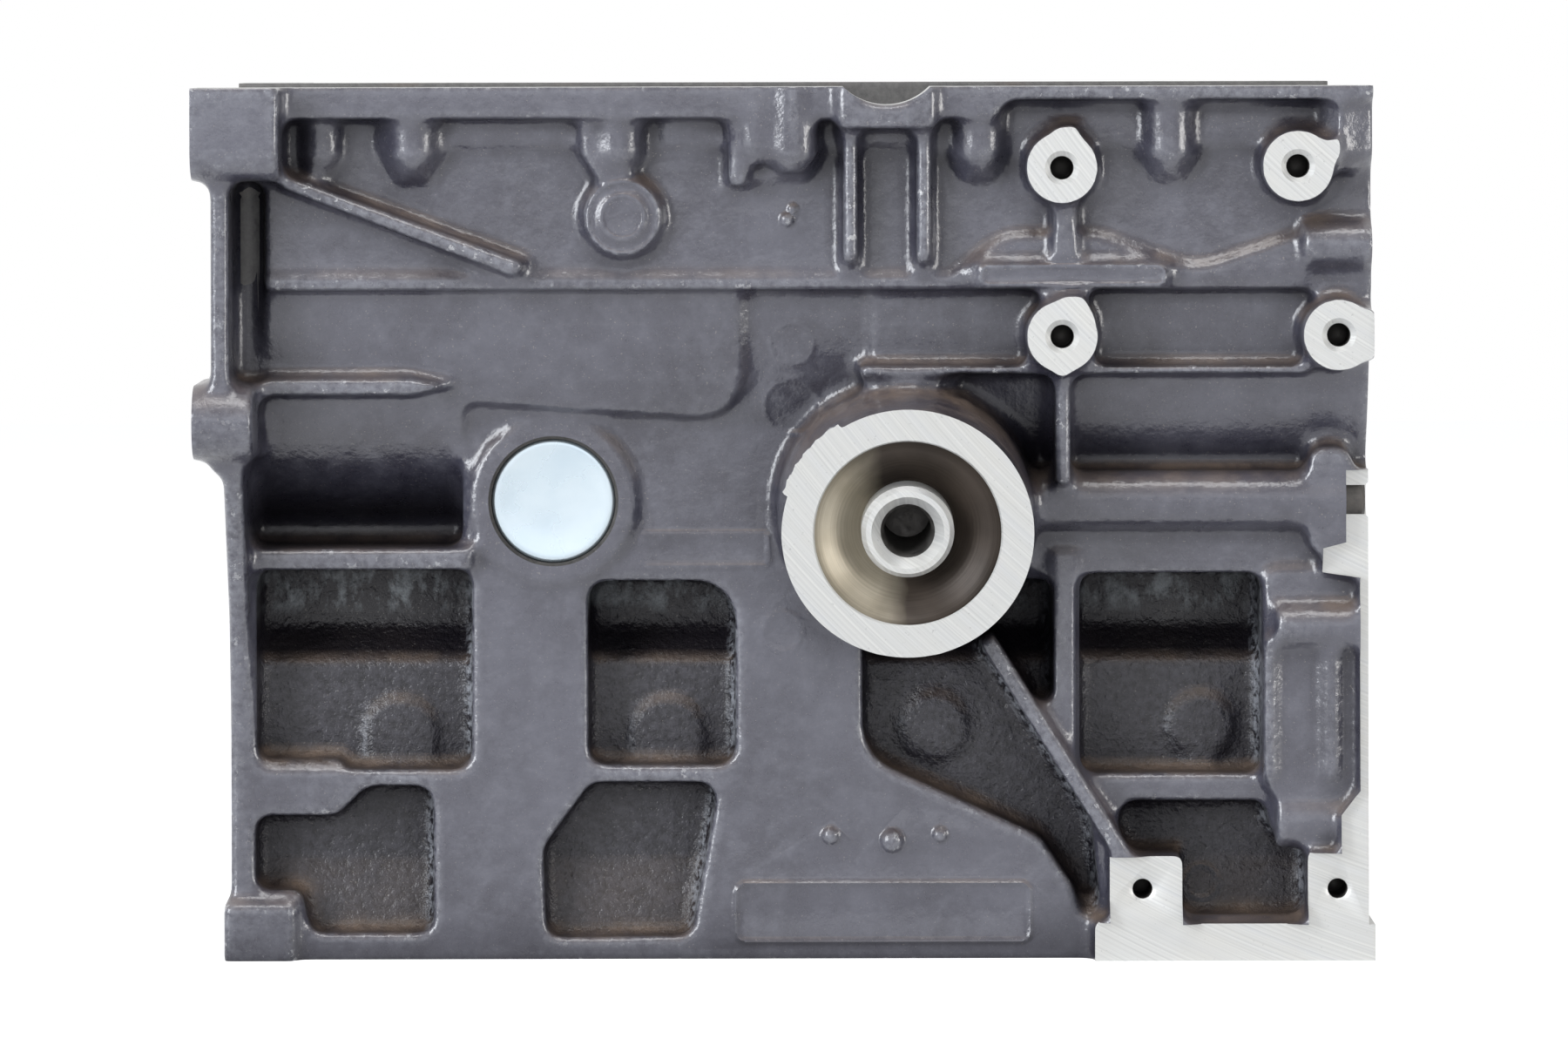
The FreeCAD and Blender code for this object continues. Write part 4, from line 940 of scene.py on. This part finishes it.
def bored_iron():
    """Honed iron: fine crossing scratches round a bore."""
    look = Looks("bored_iron")
    x, y, z = look.apart(look.place)
    scratches = []
    for way in ("ADD", "SUBTRACT"):
        slant = look.math(way, z, look.times(y, 0.6))
        scratches.append(look.streaks(look.times(slant, 2200), look.times(x, 60)))
    hatch = look.times(*scratches)
    colour = look.mix(look.span(hatch, 0.12, 0.4), BORED_DARK, BORED_PALE)
    look.set(Base_Color=colour, Metallic=0.75, Roughness=look.span(hatch, 0.1, 0.4, 0.28, 0.42))
    look.bump(look.times(hatch, 0.02))
    return look.material


def thread_iron():
    """Oily iron deep in a tapped hole."""
    look = Looks("thread_iron")
    stain = look.noise(500, 3)
    look.set(Base_Color=look.mix(stain, THREAD_DARK, THREAD_PALE), Metallic=0.6,
             Roughness=look.span(stain, 0.3, 0.7, 0.35, 0.6))
    look.bump(look.times(look.noise(1600, 2), 0.03))
    return look.material


def dish_iron():
    """The turned ring of the filter seat under a brown film of preserving oil, with a painted reflection
    that lightens one side.
    """
    look = Looks("dish_iron")
    centre = tuple(v * MM for v in FILTER_CENTRE)
    rings = look.streaks(look.times(look.distance(look.place, centre), 2600))
    film = look.noise(38, 4)
    # painted reflection: the side of the dish towards the left and a little down is pale tan and more
    # metallic, as if it mirrored a lamp
    side = look.plus(look.towards(look.place, centre, DISH_REFLECTION_WAY), look.times(film, 0.5))
    reflecting = look.span(side, 0.42, 0.85)
    oiled = look.mix(look.span(film, 0.35, 0.65), OIL_DARK, OIL_LIGHT)
    reflected = look.mix(look.span(film, 0.35, 0.65), DISH_REFLECTION_DARK, DISH_REFLECTION_LIGHT)
    colour = look.mix(reflecting, oiled, reflected)
    colour = look.over(colour, look.span(rings, 0.4, 0.7), 0.25, OIL_RING)
    look.set(Base_Color=colour, Metallic=look.span(reflecting, 0, 1, 0.4, 0.8), Specular_IOR_Level=0.3,
             Roughness=look.span(reflecting, 0, 1, 0.40, 0.46), Coat_Weight=look.times(reflecting, 0.2),
             Coat_Roughness=0.18)
    look.bump(look.times(rings, 0.03))
    return look.material


def raw_iron():
    """Unpainted cast iron inside the crankcase."""
    look = Looks("raw_iron")
    sand = look.noise(420, 4, roughness=0.7)
    rust = look.span(look.noise(34, 4), 0.55, 0.75)
    colour = look.mix(look.span(sand, 0.3, 0.7), RAW_DARK, RAW_PALE)
    colour = look.over(colour, rust, 0.3, RUST)
    look.set(Base_Color=colour, Metallic=0.25, Roughness=look.span(sand, 0.3, 0.7, 0.5, 0.72))
    look.bump(look.times(sand, 0.25))
    return look.material


def zinc():
    """Bright zinc plate on a pressed plug, with faint draw marks and a dull bloom."""
    look = Looks("zinc_plate")
    bloom = look.noise(55, 4)
    marks = look.noise(1300, 2)
    colour = look.mix(look.span(bloom, 0.25, 0.75), ZINC_COOL, ZINC_PALE)
    colour = look.over(colour, look.span(marks, 0.6, 0.75), 0.12, ZINC_MARK)
    look.set(Base_Color=colour, Metallic=0.7, Roughness=look.span(bloom, 0.3, 0.7, 0.22, 0.34))
    look.bump(look.times(bloom, 0.15))
    return look.material


def cap_iron():
    """Bare grey iron of the bearing caps, with the lines of the mill."""
    look = Looks("cap_iron")
    x, y, _ = look.apart(look.place)
    lines = look.streaks(look.times(x, 1900), look.times(y, 25))
    stain = look.noise(50, 4)
    colour = look.mix(look.span(lines, 0.3, 0.7), CAP_DARK, CAP_PALE)
    colour = look.over(colour, look.span(stain, 0.5, 0.8), 0.4, CAP_STAIN)
    look.set(Base_Color=colour, Metallic=0.55, Roughness=look.span(stain, 0.3, 0.7, 0.38, 0.52))
    look.bump(look.times(look.plus(lines, look.noise(700, 3)), 0.03))
    return look.material


def bolt_steel():
    """Phosphated steel: dark, matt, a little brown."""
    look = Looks("bolt_steel")
    film = look.noise(260, 4, roughness=0.65)
    colour = look.mix(look.span(film, 0.35, 0.65), BOLT_DARK, BOLT_PALE)
    look.set(Base_Color=colour, Metallic=0.7, Roughness=look.span(film, 0.3, 0.7, 0.38, 0.55))
    look.bump(look.times(film, 0.04))
    return look.material


# ---- pieces --------------------------------------------------------------------------------------

LOOKS = [cast_paint(), milled_iron(), bored_iron(), thread_iron(), dish_iron(), raw_iron()]
ZINC, CAP_IRON, BOLT_STEEL = zinc(), cap_iron(), bolt_steel()

# a cup plug: thickness of its sheet, radius and steps of its shoulder, depth of its skirt and of its floor
SHEET, SHOULDER, SHOULDER_STEPS, SKIRT, CUP_FLOOR = 1.6, 1.5, 5, 7, 2.6
# points of its dished crown: share of the radius, depth below the shoulder's top
CROWN = ((0.45, 0.92), (0.72, 0.62), (0.84, 0.18), (0.9, 0.02))


def solid_piece(name, solids, material, node):
    """One piece in mesh code that stands for a CAD node."""
    obj = joined(name, solids)
    mesh = obj.data
    mesh.materials.clear()
    mesh.materials.append(material)
    mesh.polygons.foreach_set("material_index", [0] * len(mesh.polygons))
    mesh.polygons.foreach_set("use_smooth", [True] * len(mesh.polygons))
    mesh.set_sharp_from_angle(angle=PLUG_SHARP_ANGLE)
    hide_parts(node)
    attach(obj, "root")
    return obj


def cup_plug(node, radius, origin, inwards):
    """A pressed cup plug: a shallow dished crown inside a rounded shoulder, and its skirt in the bore."""
    profile = [(0, 1.0)] + [(radius * share, depth) for share, depth in CROWN]
    for step in range(1, SHOULDER_STEPS + 1):
        turn = math.pi / 2 * step / SHOULDER_STEPS
        profile.append((radius - SHOULDER + SHOULDER * math.sin(turn), SHOULDER - SHOULDER * math.cos(turn)))
    inside = radius - SHEET
    profile += [(radius, SKIRT), (inside, SKIRT), (inside, 3.2), (inside - 2, CUP_FLOOR), (0, CUP_FLOOR)]
    solid = turned(profile, origin, inwards, [0] * (len(profile) - 1), 112)
    return solid_piece(node + "_shell", [solid], ZINC, node)


def make_plugs():
    """The five cup plugs, each a little below the face that its bore starts at."""
    x, z = FRONT_PLUG
    cup_plug("core_plug_front", PLUG_R - FIT, (x, FRONT_PLUG_FACE + 2, z), Y)
    for i, x in enumerate(FAR_PLUGS, start=1):
        cup_plug(f"core_plug_far_{i}", FAR_PLUG_R - FIT, (x, FAR_PLUG_FACE - 2, FAR_PLUG_Z), -Y)
    cup_plug("core_plug_rear", PLUG_R - FIT, (REAR_WALL + 1, *REAR_PLUG), X)


def dress_cad_pieces():
    """Iron for the main caps and steel for their bolts and the gallery plug, which keep their CAD shapes."""
    for name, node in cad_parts.items():
        is_cap = name.startswith("main_cap") and "bolt" not in name
        node.data.materials.clear()
        node.data.materials.append(CAP_IRON if is_cap else BOLT_STEEL)


block = make_block()
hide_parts("cylinder_block")
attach(block, "root")
make_plugs()
dress_cad_pieces()


# ---- floor, light and camera ---------------------------------------------------------------------

FLOOR_HALF = 3.0
FLOOR_COLOUR, SHADE_COLOUR, FLOOR_GLOW = (0.8, 0.8, 0.8), (0.7, 0.7, 0.7), 0.8
WORLD_COLOUR, WORLD_LIGHT = (0.93, 0.96, 1.0), 0.25
WHITE = (1.0, 1.0, 1.0)

# name, place, width and height, watts, colour; all of them point at AIM
SOFTBOXES = (
    ("left_box", (-1.5, -1.3, 0.75), (0.7, 1.3), 32, (0.93, 0.96, 1.0)),
    ("right_box", (1.5, -0.75, 0.2), (0.5, 0.7), 9, (1.0, 0.98, 0.95)),
    ("top_box", (0.05, -0.9, 1.8), (1.2, 0.5), 10, (1.0, 1.0, 1.0)),
    ("front_box", (0.0, -3.4, 0.9), (2.5, 1.6), 12, (0.93, 0.95, 1.0)),
)
AIM = Vector((0, 0, 0.13))

CAMERA_PLACE = (-0.0047, -2.338, 0.285)
CAMERA_ROLL = math.radians(0.13)
SENSOR_WIDTH, LENS, SHIFT_DOWN = 36, 170.1, -0.316


def shown_white(look):
    """1 for the rays that see the background: camera, glossy and transmission rays."""
    path = look.node("LightPath").outputs
    either = look.math("MAXIMUM", path["Is Camera Ray"], path["Is Glossy Ray"])
    return look.math("MAXIMUM", either, path["Is Transmission Ray"])


def show_or_light(look, lit, seen, output):
    """Sends one shader to the rays that see the background and another to the rest."""
    chosen = look.fed("MixShader", {0: shown_white(look), 1: lit, 2: seen})[0]
    look.feed(look.tree.nodes[output].inputs["Surface"], chosen)


def make_floor():
    """A pale floor that reads as a white ground, and keeps the block's soft shadow."""
    corners = [(x * FLOOR_HALF, y * FLOOR_HALF, 0) for x, y in ((-1, -1), (1, -1), (1, 1), (-1, 1))]
    mesh = bpy.data.meshes.new("floor")
    mesh.from_pydata(corners, [], [(0, 1, 2, 3)])
    floor = add_object("floor", mesh)
    look = Looks("floor")
    look.set(Base_Color=FLOOR_COLOUR, Roughness=0.9)
    shade = look.fed("BsdfDiffuse", {"Color": SHADE_COLOUR})[0]
    glow = look.fed("Emission", {"Strength": FLOOR_GLOW})[0]
    seen = look.fed("AddShader", {0: shade, 1: glow})[0]
    show_or_light(look, look.shader.outputs[0], seen, "Material Output")
    mesh.materials.append(look.material)


class WorldLooks(Looks):
    """The same node helpers for a world."""

    def __init__(self, name):
        self.world = bpy.data.worlds.new(name)
        self.world.use_nodes = True
        self.tree = self.world.node_tree


def make_world():
    """A dim cool sky that lights the block, and pure white where it is seen."""
    look = WorldLooks("studio")
    bpy.context.scene.world = look.world
    lit = look.tree.nodes["Background"]
    look.feed(lit.inputs["Color"], WORLD_COLOUR)
    look.feed(lit.inputs["Strength"], WORLD_LIGHT)
    seen = look.fed("Background", {"Color": WHITE, "Strength": 1.0})[0]
    show_or_light(look, lit.outputs[0], seen, "World Output")


def make_softbox(name, place, size, energy, colour):
    """A large soft lamp that points at the block."""
    lamp = bpy.data.lights.new(name, "AREA")
    lamp.shape = "RECTANGLE"
    lamp.size, lamp.size_y = size
    lamp.energy = energy
    lamp.color = colour
    obj = add_object(name, lamp)
    obj.location = place
    obj.rotation_euler = (AIM - obj.location).to_track_quat("-Z", "Y").to_euler()


def make_camera():
    """Looks level at the filter side from a height just above the block, framed by a shift downwards."""
    data = bpy.data.cameras.new("camera")
    camera = add_object("camera", data)
    bpy.context.scene.camera = camera
    camera.location = CAMERA_PLACE
    camera.rotation_euler = (math.radians(90), CAMERA_ROLL, 0)
    data.sensor_width = SENSOR_WIDTH
    data.lens = LENS
    data.shift_y = SHIFT_DOWN


make_floor()
make_world()
for softbox in SOFTBOXES:
    make_softbox(*softbox)
make_camera()
bpy.context.scene.view_settings.view_transform = "Standard"
